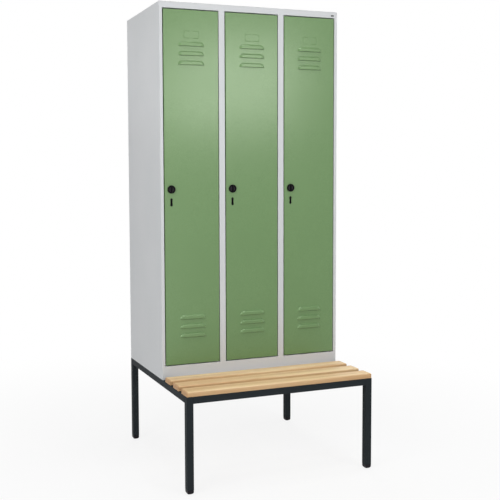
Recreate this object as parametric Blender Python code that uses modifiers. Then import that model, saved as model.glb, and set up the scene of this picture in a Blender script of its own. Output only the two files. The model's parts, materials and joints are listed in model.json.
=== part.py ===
"""Sheet steel locker with three doors, standing on a tube frame whose front part is a slatted bench.

Metres, +Z up. The front faces -Y. The origin is on the floor, under the middle of the whole object.
"""

import math

import bmesh
import bpy
from mathutils import Matrix, Vector

PART_NAME = "locker_with_bench"

# Whole object
WIDTH = 0.900
CABINET_DEPTH = 0.500
CABINET_HEIGHT = 1.700
SEAT_REACH = 0.315
FRAME_HEIGHT = 0.420
COMPARTMENTS = ("left", "middle", "right")

# Sheet steel
SHEET = 0.0008
SEAM = 0.0003
CUT_OVERRUN = 0.002

# Front frame round the doors
SIDE_STILE_WIDTH = 0.015
MIDDLE_STILE_WIDTH = 0.029
TOP_RAIL_HEIGHT = 0.028
BOTTOM_RAIL_HEIGHT = 0.0608
FRAME_FOLD = 0.020

# Doors
DOOR_FOLD = 0.020
DOOR_EDGE_RADIUS = 0.002
LOCK_SIDE_GAP = 0.004
HINGE_SIDE_GAP = 0.003
DOOR_END_GAP = 0.004

# Louvres pressed into each door
LOUVRES_PER_SET = 3
LOUVRE_WIDTH = 0.127
LOUVRE_HEIGHT = 0.023
LOUVRE_DEPTH = 0.0065
LOUVRE_CORNER_RADIUS = 0.011
LOUVRE_RIM_RADIUS = 0.0045
LOUVRE_PITCH = 0.0425
UPPER_LOUVRE_DROP = 0.1645
LOWER_LOUVRE_RISE = 0.1186

# Stiffener behind each door
STIFFENER_WIDTH = 0.045
STIFFENER_DEPTH = 0.012
STIFFENER_LOUVRE_GAP = 0.030

# Hinge pins
PIVOT_INSET = 0.010
PIVOT_DEPTH = 0.0065
PIN_RADIUS = 0.0025
PIN_HEAD_RADIUS = 0.0042
PIN_HEAD_HEIGHT = 0.003
PIN_REACH = 0.004
PIN_CLEARANCE = 0.0003

# Rotary latch
KNOB_INSET = 0.032
KNOB_RADIUS = 0.01825
KNOB_HEIGHT = 0.0065
KNOB_RIM_WIDTH = 0.0025
KNOB_RIM_ROUND = 0.0012
KNOB_DISH_DEPTH = 0.003
GRIP_WIDTH = 0.007
GRIP_HEIGHT = 0.013
GRIP_EDGE_RADIUS = 0.0015
SPINDLE_RADIUS = 0.0045
CAM_WIDTH = 0.020
CAM_THICKNESS = 0.0025
CAM_OVERLAP = 0.008
CAM_CLEARANCE = 0.002
SPINDLE_END = 0.003

# Black slot under the knob
SLOT_DROP = 0.0585
SLOT_LENGTH = 0.0335
SLOT_WIDTH = 0.010
SLOT_LIP = 0.001
SLOT_LIP_HEIGHT = 0.0008
SLOT_BODY_DEPTH = 0.006
SLOT_WALL = 0.0022
SLOT_FLOOR = 0.0015

# Fittings inside each compartment
HAT_SPACE = 0.280
SHELF_SETBACK = 0.030
SHELF_FOLD = 0.020
COAT_RAIL_RADIUS = 0.006
COAT_RAIL_DROP = 0.040
COAT_RAIL_FLANGE_RADIUS = 0.015
COAT_RAIL_FLANGE_THICKNESS = 0.002
HOOK_WIRE_RADIUS = 0.002
HOOK_EYE_CLEARANCE = 0.0005
HOOK_EYE_MOUTH = math.radians(70)
HOOK_SHANK = 0.040
HOOK_BEND_RADIUS = 0.010
HOOK_TIP = 0.014

# Bench frame
TUBE = 0.030
TUBE_WALL = 0.002
FOOT_HEIGHT = 0.020
FOOT_EDGE_RADIUS = 0.006
FOOT_STEM_HEIGHT = 0.025

# Seat slats
SLAT_NAMES = ("front", "middle", "rear")
SLAT_WIDTH = 0.070
SLAT_THICKNESS = 0.022
SLAT_GAP = 0.035
SLAT_EDGE_RADIUS = 0.005

# Colours, sRGB from 0 to 255
LIGHT_GREY = (212, 213, 215)
LEAF_GREEN = (124, 151, 111)
ANTHRACITE = (43, 48, 52)
BLACK = (24, 24, 25)
ZINC = (176, 180, 184)
BEECH = (208, 177, 134)

# Places worked out from the sizes above
DEPTH = CABINET_DEPTH + SEAT_REACH
BENCH_FRONT = -DEPTH / 2
CABINET_FRONT = BENCH_FRONT + SEAT_REACH
BACK = DEPTH / 2
SIDE = WIDTH / 2
CABINET_TOP = FRAME_HEIGHT + CABINET_HEIGHT
UNDER_LID = CABINET_TOP - SHEET - SEAM
BASE_BOTTOM = FRAME_HEIGHT + SEAM
OPENING_BOTTOM = FRAME_HEIGHT + BOTTOM_RAIL_HEIGHT
OPENING_TOP = CABINET_TOP - TOP_RAIL_HEIGHT
MIDDLE_STILES = len(COMPARTMENTS) - 1
STILES_WIDTH = 2 * SIDE_STILE_WIDTH + MIDDLE_STILES * MIDDLE_STILE_WIDTH
OPENING_WIDTH = (WIDTH - STILES_WIDTH) / len(COMPARTMENTS)
BEHIND_FRAME = CABINET_FRONT + FRAME_FOLD + SEAM
INSIDE_SIDE = SIDE - SHEET
INSIDE_BACK = BACK - SHEET
DOOR_WIDTH = OPENING_WIDTH - LOCK_SIDE_GAP - HINGE_SIDE_GAP
DOOR_BOTTOM = OPENING_BOTTOM + DOOR_END_GAP
DOOR_TOP = OPENING_TOP - DOOR_END_GAP
DOOR_HEIGHT = DOOR_TOP - DOOR_BOTTOM

# The door's own frame: x and y from the hinge axis, z from its lower edge
DOOR_HINGE_EDGE = PIVOT_INSET
DOOR_LOCK_EDGE = PIVOT_INSET - DOOR_WIDTH
DOOR_FACE = -PIVOT_DEPTH
DOOR_SHEET_BACK = DOOR_FACE + SHEET
DOOR_REAR = DOOR_FACE + DOOR_FOLD
DOOR_MIDDLE = (DOOR_HINGE_EDGE + DOOR_LOCK_EDGE) / 2
LATCH_X = DOOR_LOCK_EDGE + KNOB_INSET
LATCH_Z = DOOR_HEIGHT / 2
CAM_FRONT = max(DOOR_FOLD, FRAME_FOLD) + CAM_CLEARANCE
SHELF_TOP = UNDER_LID - HAT_SPACE
COAT_RAIL_Z = SHELF_TOP - SHELF_FOLD - COAT_RAIL_DROP
COAT_RAIL_Y = (BEHIND_FRAME + INSIDE_BACK) / 2

SIDE_VECTORS = {
    "-X": Vector((-1, 0, 0)),
    "+X": Vector((1, 0, 0)),
    "-Y": Vector((0, -1, 0)),
    "+Y": Vector((0, 1, 0)),
    "-Z": Vector((0, 0, -1)),
    "+Z": Vector((0, 0, 1)),
}
ROUND_SEGMENTS = 32
PIN_SEGMENTS = 16
BEND_SEGMENTS = 3
RIM_SEGMENTS = 2
HOOK_STEPS = 10
MERGE_DISTANCE = 0.00001
SMOOTH_BELOW = math.radians(35)
PARALLEL_SHARE = 0.9


def new_collection(name):
    """A collection linked to the scene."""
    collection = bpy.data.collections.new(name)
    bpy.context.scene.collection.children.link(collection)
    return collection


def clear_scene():
    """Removes whatever the file holds at the start."""
    for obj in list(bpy.data.objects):
        bpy.data.objects.remove(obj, do_unlink=True)


clear_scene()
PIECES = new_collection(PART_NAME)
CUTTERS = new_collection("cutters")


def linear(value):
    """One sRGB channel from 0 to 255 as a linear value."""
    share = value / 255
    return share / 12.92 if share <= 0.04045 else ((share + 0.055) / 1.055) ** 2.4


def finish(name, colour, roughness, metallic=0.0):
    """A Principled material."""
    material = bpy.data.materials.new(name)
    material.use_nodes = True
    shader = material.node_tree.nodes["Principled BSDF"]
    shader.inputs["Base Color"].default_value = (*map(linear, colour), 1)
    shader.inputs["Roughness"].default_value = roughness
    shader.inputs["Metallic"].default_value = metallic
    return material


def add_object(name, mesh, material, location=(0, 0, 0), parent=None):
    """An object of the locker, at a place in the world, under a parent if one is given."""
    obj = bpy.data.objects.new(name, mesh)
    PIECES.objects.link(obj)
    obj.location = Vector(location)
    if parent:
        obj.parent = parent
        obj.location -= parent.matrix_world.translation
    if material:
        mesh.materials.clear()
        mesh.materials.append(material)
    return obj


def add_axis(name, location, parent=None):
    """An empty on the axis of a joint."""
    axis = add_object(name, None, None, location, parent)
    axis.empty_display_size = TUBE
    bpy.context.view_layer.update()
    return axis


def as_cutter(obj):
    """Moves an object to the cutters, out of the render."""
    PIECES.objects.unlink(obj)
    CUTTERS.objects.link(obj)
    obj.hide_render = True
    obj.display_type = "WIRE"
    return obj


def mesh_from(bm, name):
    """A mesh with the faces of a bmesh, which is freed."""
    mesh = bpy.data.meshes.new(name)
    bm.to_mesh(mesh)
    bm.free()
    return mesh


def smooth(obj):
    """Smooth shading, apart from the sharp edges."""
    obj.data.shade_smooth()
    obj.data.set_sharp_from_angle(angle=SMOOTH_BELOW)
    return obj


def box_bmesh(low, high, open_sides=()):
    """A box between two corners, without the faces on its open sides."""
    bm = bmesh.new()
    low, high = Vector(low), Vector(high)
    bmesh.ops.create_cube(bm, size=1)
    bmesh.ops.scale(bm, vec=high - low, verts=bm.verts)
    bmesh.ops.translate(bm, vec=(low + high) / 2, verts=bm.verts)
    bm.normal_update()
    for side in open_sides:
        gone = [face for face in bm.faces if face.normal.dot(SIDE_VECTORS[side]) > PARALLEL_SHARE]
        bmesh.ops.delete(bm, geom=gone, context="FACES")
    return bm


def block(name, low, high, material, open_sides=(), parent=None):
    """A box object between two corners of the world, with its origin in its middle."""
    middle = (Vector(low) + Vector(high)) / 2
    half = (Vector(high) - Vector(low)) / 2
    mesh = mesh_from(box_bmesh(-half, half, open_sides), name)
    return add_object(name, mesh, material, middle, parent)


def folded(name, low, high, open_sides, material, sheet=SHEET, parent=None):
    """A box folded from sheet, open on the sides named, with its wall inside the two corners."""
    obj = block(name, low, high, material, open_sides, parent)
    add_wall(obj, sheet)
    return obj


def add_wall(obj, sheet):
    """Gives an open surface its wall, on the inner side."""
    wall = obj.modifiers.new("wall", "SOLIDIFY")
    wall.thickness = sheet
    wall.offset = -1
    wall.use_even_offset = True


def round_edges(obj, radius, segments=BEND_SEGMENTS):
    """Rounds the sharp edges of an object."""
    bevel = obj.modifiers.new("round_edges", "BEVEL")
    bevel.width = radius
    bevel.segments = segments
    bevel.limit_method = "ANGLE"


def combine(obj, other, operation):
    """A live Boolean with another object, which becomes a cutter."""
    if other.name not in CUTTERS.objects:
        as_cutter(other)
    boolean = obj.modifiers.new(other.name, "BOOLEAN")
    boolean.operation = operation
    boolean.solver = "EXACT"
    boolean.object = other


def joined(name, objects):
    """One cutter with the meshes of several, which don't touch each other."""
    whole = bmesh.new()
    for obj in objects:
        whole.from_mesh(obj.data)
    return as_cutter(add_object(name, mesh_from(whole, name), None))


def bake(obj):
    """Turns an object with modifiers, or a curve, into a plain mesh."""
    bpy.context.view_layer.update()
    graph = bpy.context.evaluated_depsgraph_get()
    mesh = bpy.data.meshes.new_from_object(obj.evaluated_get(graph))
    bm = bmesh.new()
    bm.from_mesh(mesh)
    bmesh.ops.remove_doubles(bm, verts=bm.verts, dist=MERGE_DISTANCE)
    bm.to_mesh(mesh)
    bm.free()
    bpy.data.objects.remove(obj, do_unlink=True)
    return mesh


def rod(name, radius, low, high, direction, segments=PIN_SEGMENTS):
    """A cylinder cutter along an axis, from the middle of one end to the middle of the other."""
    low, high = Vector(low), Vector(high)
    turn = SIDE_VECTORS["+Z"].rotation_difference(SIDE_VECTORS[direction]).to_matrix().to_4x4()
    bm = bmesh.new()
    bmesh.ops.create_cone(
        bm,
        cap_ends=True,
        segments=segments,
        radius1=radius,
        radius2=radius,
        depth=(high - low).length,
        matrix=Matrix.Translation((low + high) / 2) @ turn,
    )
    return as_cutter(add_object(name, mesh_from(bm, name), None))


def turned(name, profile, direction, segments=ROUND_SEGMENTS):
    """A mesh turned from (radius, height) points, run from top to bottom, with its top facing a side."""
    bm = bmesh.new()
    points = [bm.verts.new((radius, 0, height)) for radius, height in profile]
    for first, second in zip(points, points[1:]):
        bm.edges.new((first, second))
    obj = add_object(name, mesh_from(bm, name), None)
    screw = obj.modifiers.new("turn", "SCREW")
    screw.steps = segments
    screw.render_steps = segments
    screw.use_merge_vertices = True
    screw.merge_threshold = MERGE_DISTANCE
    mesh = bake(obj)
    turn = SIDE_VECTORS["+Z"].rotation_difference(SIDE_VECTORS[direction]).to_matrix().to_4x4()
    mesh.transform(turn)
    return mesh


def bevel_edges(bm, edges, radius, segments):
    """Rounds chosen edges of a bmesh."""
    bmesh.ops.bevel(
        bm,
        geom=edges,
        offset=radius,
        segments=segments,
        profile=0.5,
        affect="EDGES",
        clamp_overlap=True,
    )
    bm.normal_update()


def edges_along(bm, side, where):
    """The edges that run along an axis and whose middle passes a test."""
    axis = SIDE_VECTORS[side]
    found = []
    for edge in bm.edges:
        span = edge.verts[1].co - edge.verts[0].co
        middle = (edge.verts[0].co + edge.verts[1].co) / 2
        if abs(span.normalized().dot(axis)) > PARALLEL_SHARE and where(middle):
            found.append(edge)
    return found


def opening_left(index):
    """The x of the left edge of a door opening."""
    return -SIDE + SIDE_STILE_WIDTH + index * (OPENING_WIDTH + MIDDLE_STILE_WIDTH)


def partition_x(index):
    """The x of the middle of the partition on the right of a compartment."""
    return opening_left(index) + OPENING_WIDTH + MIDDLE_STILE_WIDTH / 2


def compartment_walls(index):
    """The x of the two faces of sheet that a compartment lies between."""
    left = -INSIDE_SIDE if index == 0 else partition_x(index - 1) + SHEET / 2
    last = index == len(COMPARTMENTS) - 1
    right = INSIDE_SIDE if last else partition_x(index) - SHEET / 2
    return left, right


def hinge_axis(index):
    """The lower end of the axis of a door's hinge pins."""
    door_right = opening_left(index) + OPENING_WIDTH - HINGE_SIDE_GAP
    return Vector((door_right - PIVOT_INSET, CABINET_FRONT + PIVOT_DEPTH, DOOR_BOTTOM))


def make_casing(material):
    """The panels round and between the compartments."""
    for name, outer, inner in (("left", -SIDE, -INSIDE_SIDE), ("right", INSIDE_SIDE, SIDE)):
        low = (outer, CABINET_FRONT, BASE_BOTTOM)
        block(f"side_panel_{name}", low, (inner, BACK, UNDER_LID), material)
    between = INSIDE_SIDE - SEAM
    block("back_panel", (-between, INSIDE_BACK, BASE_BOTTOM), (between, BACK, UNDER_LID), material)
    lid_low = (-SIDE, CABINET_FRONT, CABINET_TOP - SHEET)
    block("top_panel", lid_low, (SIDE, BACK, CABINET_TOP), material)
    before_back = INSIDE_BACK - SEAM
    floor_bottom = OPENING_BOTTOM - SHEET
    block(
        "floor_panel",
        (-between, BEHIND_FRAME, floor_bottom),
        (between, before_back, OPENING_BOTTOM),
        material,
    )
    folded(
        "base_panel",
        (-between, BEHIND_FRAME, BASE_BOTTOM),
        (between, before_back, floor_bottom - SEAM),
        ("+Z", "-Y"),
        material,
    )
    for index in range(MIDDLE_STILES):
        x = partition_x(index)
        block(
            f"partition_{index + 1}",
            (x - SHEET / 2, BEHIND_FRAME, OPENING_BOTTOM + SEAM),
            (x + SHEET / 2, before_back, UNDER_LID),
            material,
        )


def make_front_frame(material):
    """The stiles and rails round the door openings, folded channels that are open to the rear."""
    inside = INSIDE_SIDE - SEAM
    opening_edge = SIDE - SIDE_STILE_WIDTH
    rear = CABINET_FRONT + FRAME_FOLD
    stile_ends = ("+Y", "+Z", "-Z")
    for name, low, high in (("left", -inside, -opening_edge), ("right", opening_edge, inside)):
        folded(
            f"front_stile_{name}",
            (low, CABINET_FRONT, BASE_BOTTOM),
            (high, rear, UNDER_LID),
            stile_ends,
            material,
        )
    for index in range(MIDDLE_STILES):
        x = partition_x(index)
        folded(
            f"front_stile_middle_{index + 1}",
            (x - MIDDLE_STILE_WIDTH / 2, CABINET_FRONT, OPENING_BOTTOM + SEAM),
            (x + MIDDLE_STILE_WIDTH / 2, rear, OPENING_TOP - SEAM),
            stile_ends,
            material,
        )
    rail_end = opening_edge - SEAM
    rail_ends = ("+Y", "+X", "-X")
    rails = (("top", OPENING_TOP, UNDER_LID), ("bottom", BASE_BOTTOM, OPENING_BOTTOM))
    for name, low, high in rails:
        rail = folded(
            f"front_{name}_rail",
            (-rail_end, CABINET_FRONT, low),
            (rail_end, rear, high),
            rail_ends,
            material,
        )
        hole_z = OPENING_TOP if name == "top" else OPENING_BOTTOM
        for index, compartment in enumerate(COMPARTMENTS):
            axis = hinge_axis(index)
            cutter = rod(
                f"pin_hole_{name}_{compartment}",
                PIN_RADIUS + PIN_CLEARANCE,
                (axis.x, axis.y, hole_z - CUT_OVERRUN),
                (axis.x, axis.y, hole_z + CUT_OVERRUN),
                "+Z",
            )
            combine(rail, cutter, "DIFFERENCE")


def louvre_edges():
    """The height above the door's lower edge of each louvre's open edge."""
    heights = []
    for index in range(LOUVRES_PER_SET):
        heights.append(LOWER_LOUVRE_RISE + index * LOUVRE_PITCH)
        heights.append(DOOR_HEIGHT - UPPER_LOUVRE_DROP - index * LOUVRE_PITCH)
    return sorted(heights)


def louvre_mesh(name, inset, below, behind):
    """All louvres of a door as round-shouldered blocks that stand out of its face.

    inset is taken off the outside, below lowers the open edge, and behind is how far back they reach.
    """
    whole = bmesh.new()
    for z in louvre_edges():
        half = LOUVRE_WIDTH / 2 - inset
        low = (DOOR_MIDDLE - half, DOOR_FACE - LOUVRE_DEPTH + inset, z - below)
        high = (DOOR_MIDDLE + half, DOOR_FACE + behind, z + LOUVRE_HEIGHT - inset)
        bm = box_bmesh(low, high)
        corner_height = high[2] - LOUVRE_CORNER_RADIUS / 2
        corners = edges_along(bm, "+Y", lambda middle: middle.z > corner_height)
        bevel_edges(bm, corners, LOUVRE_CORNER_RADIUS - inset, BEND_SEGMENTS)
        front = DOOR_FACE - LOUVRE_DEPTH + inset + MERGE_DISTANCE
        rim = [
            edge
            for edge in bm.edges
            if all(vert.co.y < front for vert in edge.verts)
            and any(vert.co.z > z + MERGE_DISTANCE for vert in edge.verts)
        ]
        bevel_edges(bm, rim, LOUVRE_RIM_RADIUS - inset, RIM_SEGMENTS)
        louvre = mesh_from(bm, name)
        whole.from_mesh(louvre)
        bpy.data.meshes.remove(louvre)
    return mesh_from(whole, name)


def rounded_slot(name, x, z, width, length, front, rear):
    """A cutter or piece with straight sides and round ends, upright, through the door's sheet."""
    bm = box_bmesh(
        (x - width / 2, front, z - length / 2),
        (x + width / 2, rear, z + length / 2),
    )
    ends = edges_along(bm, "+Y", lambda middle: True)
    bevel_edges(bm, ends, width / 2 - MERGE_DISTANCE, BEND_SEGMENTS)
    return add_object(name, mesh_from(bm, name), None)


def door_mesh():
    """The door's folded sheet with its louvres and holes, in the door's own frame."""
    bm = box_bmesh(
        (DOOR_LOCK_EDGE, DOOR_FACE, 0),
        (DOOR_HINGE_EDGE, DOOR_REAR, DOOR_HEIGHT),
        ("+Y",),
    )
    door = add_object("door_pattern", mesh_from(bm, "door_pattern"), None)
    round_edges(door, DOOR_EDGE_RADIUS)
    add_wall(door, SHEET)
    hoods = add_object("louvre_hoods", louvre_mesh("louvre_hoods", 0, 0, SHEET / 2), None)
    combine(door, hoods, "UNION")
    front = DOOR_FACE - CUT_OVERRUN
    rear = DOOR_SHEET_BACK + CUT_OVERRUN
    hollows = louvre_mesh("louvre_hollows", SHEET, SHEET, SHEET + CUT_OVERRUN)
    cuts = [
        as_cutter(add_object("louvre_hollows", hollows, None)),
        rod(
            "spindle_hole",
            SPINDLE_RADIUS + PIN_CLEARANCE,
            (LATCH_X, front, LATCH_Z),
            (LATCH_X, rear, LATCH_Z),
            "+Y",
        ),
        as_cutter(
            rounded_slot(
                "slot_hole",
                LATCH_X,
                LATCH_Z - SLOT_DROP,
                SLOT_WIDTH - 2 * SLOT_LIP + 2 * SEAM,
                SLOT_LENGTH - 2 * SLOT_LIP + 2 * SEAM,
                front,
                rear,
            )
        ),
    ]
    for name, z in (("lower", 0), ("upper", DOOR_HEIGHT)):
        cuts.append(
            rod(
                f"door_pin_hole_{name}",
                PIN_RADIUS + PIN_CLEARANCE,
                (0, 0, z - CUT_OVERRUN),
                (0, 0, z + CUT_OVERRUN),
                "+Z",
            )
        )
    combine(door, joined("door_cuts", cuts), "DIFFERENCE")
    return bake(door)


def pin_mesh():
    """A hinge pin whose head lies inside the door, with its origin on the door's outer edge."""
    head_top = -SHEET - SEAM
    tip = DOOR_END_GAP + SHEET + PIN_REACH
    chamfer = PIN_RADIUS / 2
    profile = [
        (0, tip),
        (PIN_RADIUS - chamfer, tip),
        (PIN_RADIUS, tip - chamfer),
        (PIN_RADIUS, head_top),
        (PIN_HEAD_RADIUS, head_top),
        (PIN_HEAD_RADIUS, head_top - PIN_HEAD_HEIGHT),
        (0, head_top - PIN_HEAD_HEIGHT),
    ]
    return turned("hinge_pin", profile, "+Z", PIN_SEGMENTS)


def knob_mesh():
    """The latch knob with its grip and spindle; its origin is where its axis meets the door's face."""
    dish = KNOB_HEIGHT - KNOB_DISH_DEPTH
    spindle_length = CAM_FRONT + CAM_THICKNESS + SPINDLE_END
    rim_inner = KNOB_RADIUS - KNOB_RIM_ROUND - KNOB_RIM_WIDTH
    profile = [
        (0, dish),
        (rim_inner - KNOB_DISH_DEPTH / 2, dish),
        (rim_inner, KNOB_HEIGHT),
        (KNOB_RADIUS - KNOB_RIM_ROUND, KNOB_HEIGHT),
        (KNOB_RADIUS, KNOB_HEIGHT - KNOB_RIM_ROUND),
        (KNOB_RADIUS, SEAM),
        (SPINDLE_RADIUS, SEAM),
        (SPINDLE_RADIUS, -spindle_length),
        (0, -spindle_length),
    ]
    knob = add_object("knob_pattern", turned("knob_pattern", profile, "-Y"), None)
    reach = KNOB_RADIUS - KNOB_RIM_ROUND
    bm = box_bmesh(
        (-GRIP_WIDTH / 2, -GRIP_HEIGHT, -reach),
        (GRIP_WIDTH / 2, -KNOB_HEIGHT / 2, reach),
    )
    grip = add_object("knob_grip", mesh_from(bm, "knob_grip"), None)
    round_edges(grip, GRIP_EDGE_RADIUS)
    combine(knob, grip, "UNION")
    return bake(knob)


def cam_mesh():
    """The latch cam, which hangs from the spindle and swings behind the stile."""
    reach = KNOB_INSET + LOCK_SIDE_GAP + CAM_OVERLAP
    bm = box_bmesh(
        (-CAM_WIDTH / 2, CAM_FRONT, -reach),
        (CAM_WIDTH / 2, CAM_FRONT + CAM_THICKNESS, CAM_WIDTH / 2),
    )
    corners = edges_along(bm, "+Y", lambda middle: True)
    bevel_edges(bm, corners, CAM_WIDTH / 3, BEND_SEGMENTS)
    cam = add_object("cam_pattern", mesh_from(bm, "cam_pattern"), None)
    hole = rod(
        "cam_hole",
        SPINDLE_RADIUS + PIN_CLEARANCE,
        (0, CAM_FRONT - CUT_OVERRUN, 0),
        (0, CAM_FRONT + CAM_THICKNESS + CUT_OVERRUN, 0),
        "+Y",
    )
    combine(cam, hole, "DIFFERENCE")
    return bake(cam)


def slot_mesh():
    """The black slot liner; its origin is in its middle on the door's face."""
    lip_front = -SEAM - SLOT_LIP_HEIGHT
    liner = rounded_slot("slot_pattern", 0, 0, SLOT_WIDTH, SLOT_LENGTH, lip_front, -SEAM)
    body_width = SLOT_WIDTH - 2 * SLOT_LIP
    body_length = SLOT_LENGTH - 2 * SLOT_LIP
    body_front = -SEAM - SLOT_LIP_HEIGHT / 2
    body = rounded_slot("slot_body", 0, 0, body_width, body_length, body_front, SLOT_BODY_DEPTH)
    combine(liner, body, "UNION")
    recess = rounded_slot(
        "slot_recess",
        0,
        0,
        body_width - 2 * SLOT_WALL,
        body_length - 2 * SLOT_WALL,
        lip_front - CUT_OVERRUN,
        SLOT_BODY_DEPTH - SLOT_FLOOR,
    )
    combine(liner, recess, "DIFFERENCE")
    return bake(liner)


def make_doors(green, zinc, black):
    """Each door with its stiffener, hinge pins, slot and rotary latch, under an axis of its own."""
    door, pin, knob, cam, slot = door_mesh(), pin_mesh(), knob_mesh(), cam_mesh(), slot_mesh()
    louvres = louvre_edges()
    low_louvre_top = louvres[LOUVRES_PER_SET - 1] + LOUVRE_HEIGHT
    high_louvre_bottom = louvres[LOUVRES_PER_SET]
    for index, name in enumerate(COMPARTMENTS):
        corner = hinge_axis(index)
        axis = add_axis(f"door_{name}_axis", corner)
        add_object(f"door_panel_{name}", door, green, corner, axis)
        folded(
            f"door_stiffener_{name}",
            corner
            + Vector(
                (
                    DOOR_MIDDLE - STIFFENER_WIDTH / 2,
                    DOOR_SHEET_BACK + SEAM,
                    low_louvre_top + STIFFENER_LOUVRE_GAP,
                )
            ),
            corner
            + Vector(
                (
                    DOOR_MIDDLE + STIFFENER_WIDTH / 2,
                    DOOR_SHEET_BACK + SEAM + STIFFENER_DEPTH,
                    high_louvre_bottom - STIFFENER_LOUVRE_GAP,
                )
            ),
            ("-Y", "+Z", "-Z"),
            green,
            parent=axis,
        )
        upper = corner + Vector((0, 0, DOOR_HEIGHT))
        smooth(add_object(f"hinge_pin_upper_{name}", pin, zinc, upper, axis))
        lower = add_object(f"hinge_pin_lower_{name}", pin, zinc, corner, axis)
        lower.rotation_euler.x = math.pi
        latch = corner + Vector((LATCH_X, DOOR_FACE, LATCH_Z))
        slot_place = latch - Vector((0, 0, SLOT_DROP))
        smooth(add_object(f"slot_liner_{name}", slot, black, slot_place, axis))
        latch_axis = add_axis(f"latch_{name}_axis", latch, axis)
        smooth(add_object(f"latch_knob_{name}", knob, black, latch, latch_axis))
        add_object(f"latch_cam_{name}", cam, zinc, latch, latch_axis)


def hook_path():
    """The points of a coat hook's wire, from its open eye down the shank to its tip, in the YZ plane."""
    eye = COAT_RAIL_RADIUS + HOOK_EYE_CLEARANCE + HOOK_WIRE_RADIUS
    steps = HOOK_STEPS
    shank_angle = math.pi
    points = []
    for step in range(steps + 1):
        angle = shank_angle - (2 * math.pi - HOOK_EYE_MOUTH) * (1 - step / steps)
        points.append((-eye * math.cos(angle), eye * math.sin(angle)))
    bend_y = points[-1][0] - HOOK_BEND_RADIUS
    for step in range(steps + 1):
        angle = math.pi * step / steps
        points.append(
            (
                bend_y + HOOK_BEND_RADIUS * math.cos(angle),
                -HOOK_SHANK - HOOK_BEND_RADIUS * math.sin(angle),
            )
        )
    points.append((bend_y - HOOK_BEND_RADIUS, -HOOK_SHANK + HOOK_TIP))
    return [Vector((0, y, z)) for y, z in points]


def hook_mesh():
    """The coat hook, bent from wire, with its origin on the coat rail's axis."""
    curve = bpy.data.curves.new("hook_wire", "CURVE")
    curve.dimensions = "3D"
    curve.bevel_depth = HOOK_WIRE_RADIUS
    curve.bevel_resolution = 2
    curve.use_fill_caps = True
    spline = curve.splines.new("POLY")
    points = hook_path()
    spline.points.add(len(points) - 1)
    for point, place in zip(spline.points, points):
        point.co = (*place, 1)
    return bake(add_object("hook_wire", curve, None))


def coat_rail_mesh(length):
    """A round rail with a flange at each end, along X, with its origin in its middle."""
    half = length / 2
    neck = half - COAT_RAIL_FLANGE_THICKNESS
    profile = [
        (0, half),
        (COAT_RAIL_FLANGE_RADIUS, half),
        (COAT_RAIL_FLANGE_RADIUS, neck),
        (COAT_RAIL_RADIUS, neck),
        (COAT_RAIL_RADIUS, -neck),
        (COAT_RAIL_FLANGE_RADIUS, -neck),
        (COAT_RAIL_FLANGE_RADIUS, -half),
        (0, -half),
    ]
    return turned("coat_rail", profile, "+X", PIN_SEGMENTS)


def make_fittings(grey, zinc):
    """The hat shelf, coat rail and sliding hook of each compartment."""
    hook = hook_mesh()
    for index, name in enumerate(COMPARTMENTS):
        left, right = compartment_walls(index)
        folded(
            f"hat_shelf_{name}",
            (left + SEAM, CABINET_FRONT + SHELF_SETBACK, SHELF_TOP - SHELF_FOLD),
            (right - SEAM, INSIDE_BACK - SEAM, SHELF_TOP),
            ("-Z",),
            grey,
        )
        place = ((left + right) / 2, COAT_RAIL_Y, COAT_RAIL_Z)
        rail = coat_rail_mesh(right - left - 2 * SEAM)
        smooth(add_object(f"coat_rail_{name}", rail, zinc, place))
        axis = add_axis(f"coat_hook_{name}_axis", place)
        smooth(add_object(f"coat_hook_{name}", hook, zinc, place, axis))


def tube(name, low, high, ends, material):
    """A square tube that is open at the two ends named."""
    folded(name, low, high, ends, material, TUBE_WALL)


def foot_mesh():
    """A plastic tube end, with its origin in the middle of the face that stands on the floor."""
    half = TUBE / 2
    bm = box_bmesh((-half, -half, 0), (half, half, FOOT_HEIGHT))
    lower = [
        edge
        for edge in bm.edges
        if all(vert.co.z < MERGE_DISTANCE for vert in edge.verts)
    ]
    bevel_edges(bm, lower, FOOT_EDGE_RADIUS, BEND_SEGMENTS)
    foot = add_object("foot_pattern", mesh_from(bm, "foot_pattern"), None)
    inner = half - TUBE_WALL - SEAM
    stem_low = (-inner, -inner, FOOT_HEIGHT / 2)
    stem_high = (inner, inner, FOOT_HEIGHT + FOOT_STEM_HEIGHT)
    stem = mesh_from(box_bmesh(stem_low, stem_high), "foot_stem")
    combine(foot, add_object("foot_stem", stem, None), "UNION")
    return bake(foot)


def make_bench_frame(anthracite, black):
    """The welded tube frame under the locker and the seat, on plastic feet."""
    foot = foot_mesh()
    corners = (
        ("front_left", -SIDE, BENCH_FRONT),
        ("front_right", SIDE - TUBE, BENCH_FRONT),
        ("back_left", -SIDE, BACK - TUBE),
        ("back_right", SIDE - TUBE, BACK - TUBE),
    )
    for name, x, y in corners:
        tube(
            f"bench_leg_{name}",
            (x, y, FOOT_HEIGHT + SEAM),
            (x + TUBE, y + TUBE, FRAME_HEIGHT),
            ("-Z", "+Z"),
            anthracite,
        )
        add_object(f"foot_{name}", foot, black, (x + TUBE / 2, y + TUBE / 2, 0))
    low = FRAME_HEIGHT - TUBE
    end = SIDE - TUBE - SEAM
    for name, y in (("front", BENCH_FRONT), ("middle", CABINET_FRONT), ("back", BACK - TUBE)):
        tube(
            f"bench_{name}_rail",
            (-end, y, low),
            (end, y + TUBE, FRAME_HEIGHT),
            ("-X", "+X"),
            anthracite,
        )
    front, rear = BENCH_FRONT + TUBE + SEAM, BACK - TUBE - SEAM
    for name, x in (("left", -SIDE), ("right", SIDE - TUBE)):
        tube(
            f"bench_side_rail_{name}",
            (x, front, low),
            (x + TUBE, rear, FRAME_HEIGHT),
            ("-Y", "+Y"),
            anthracite,
        )


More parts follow.
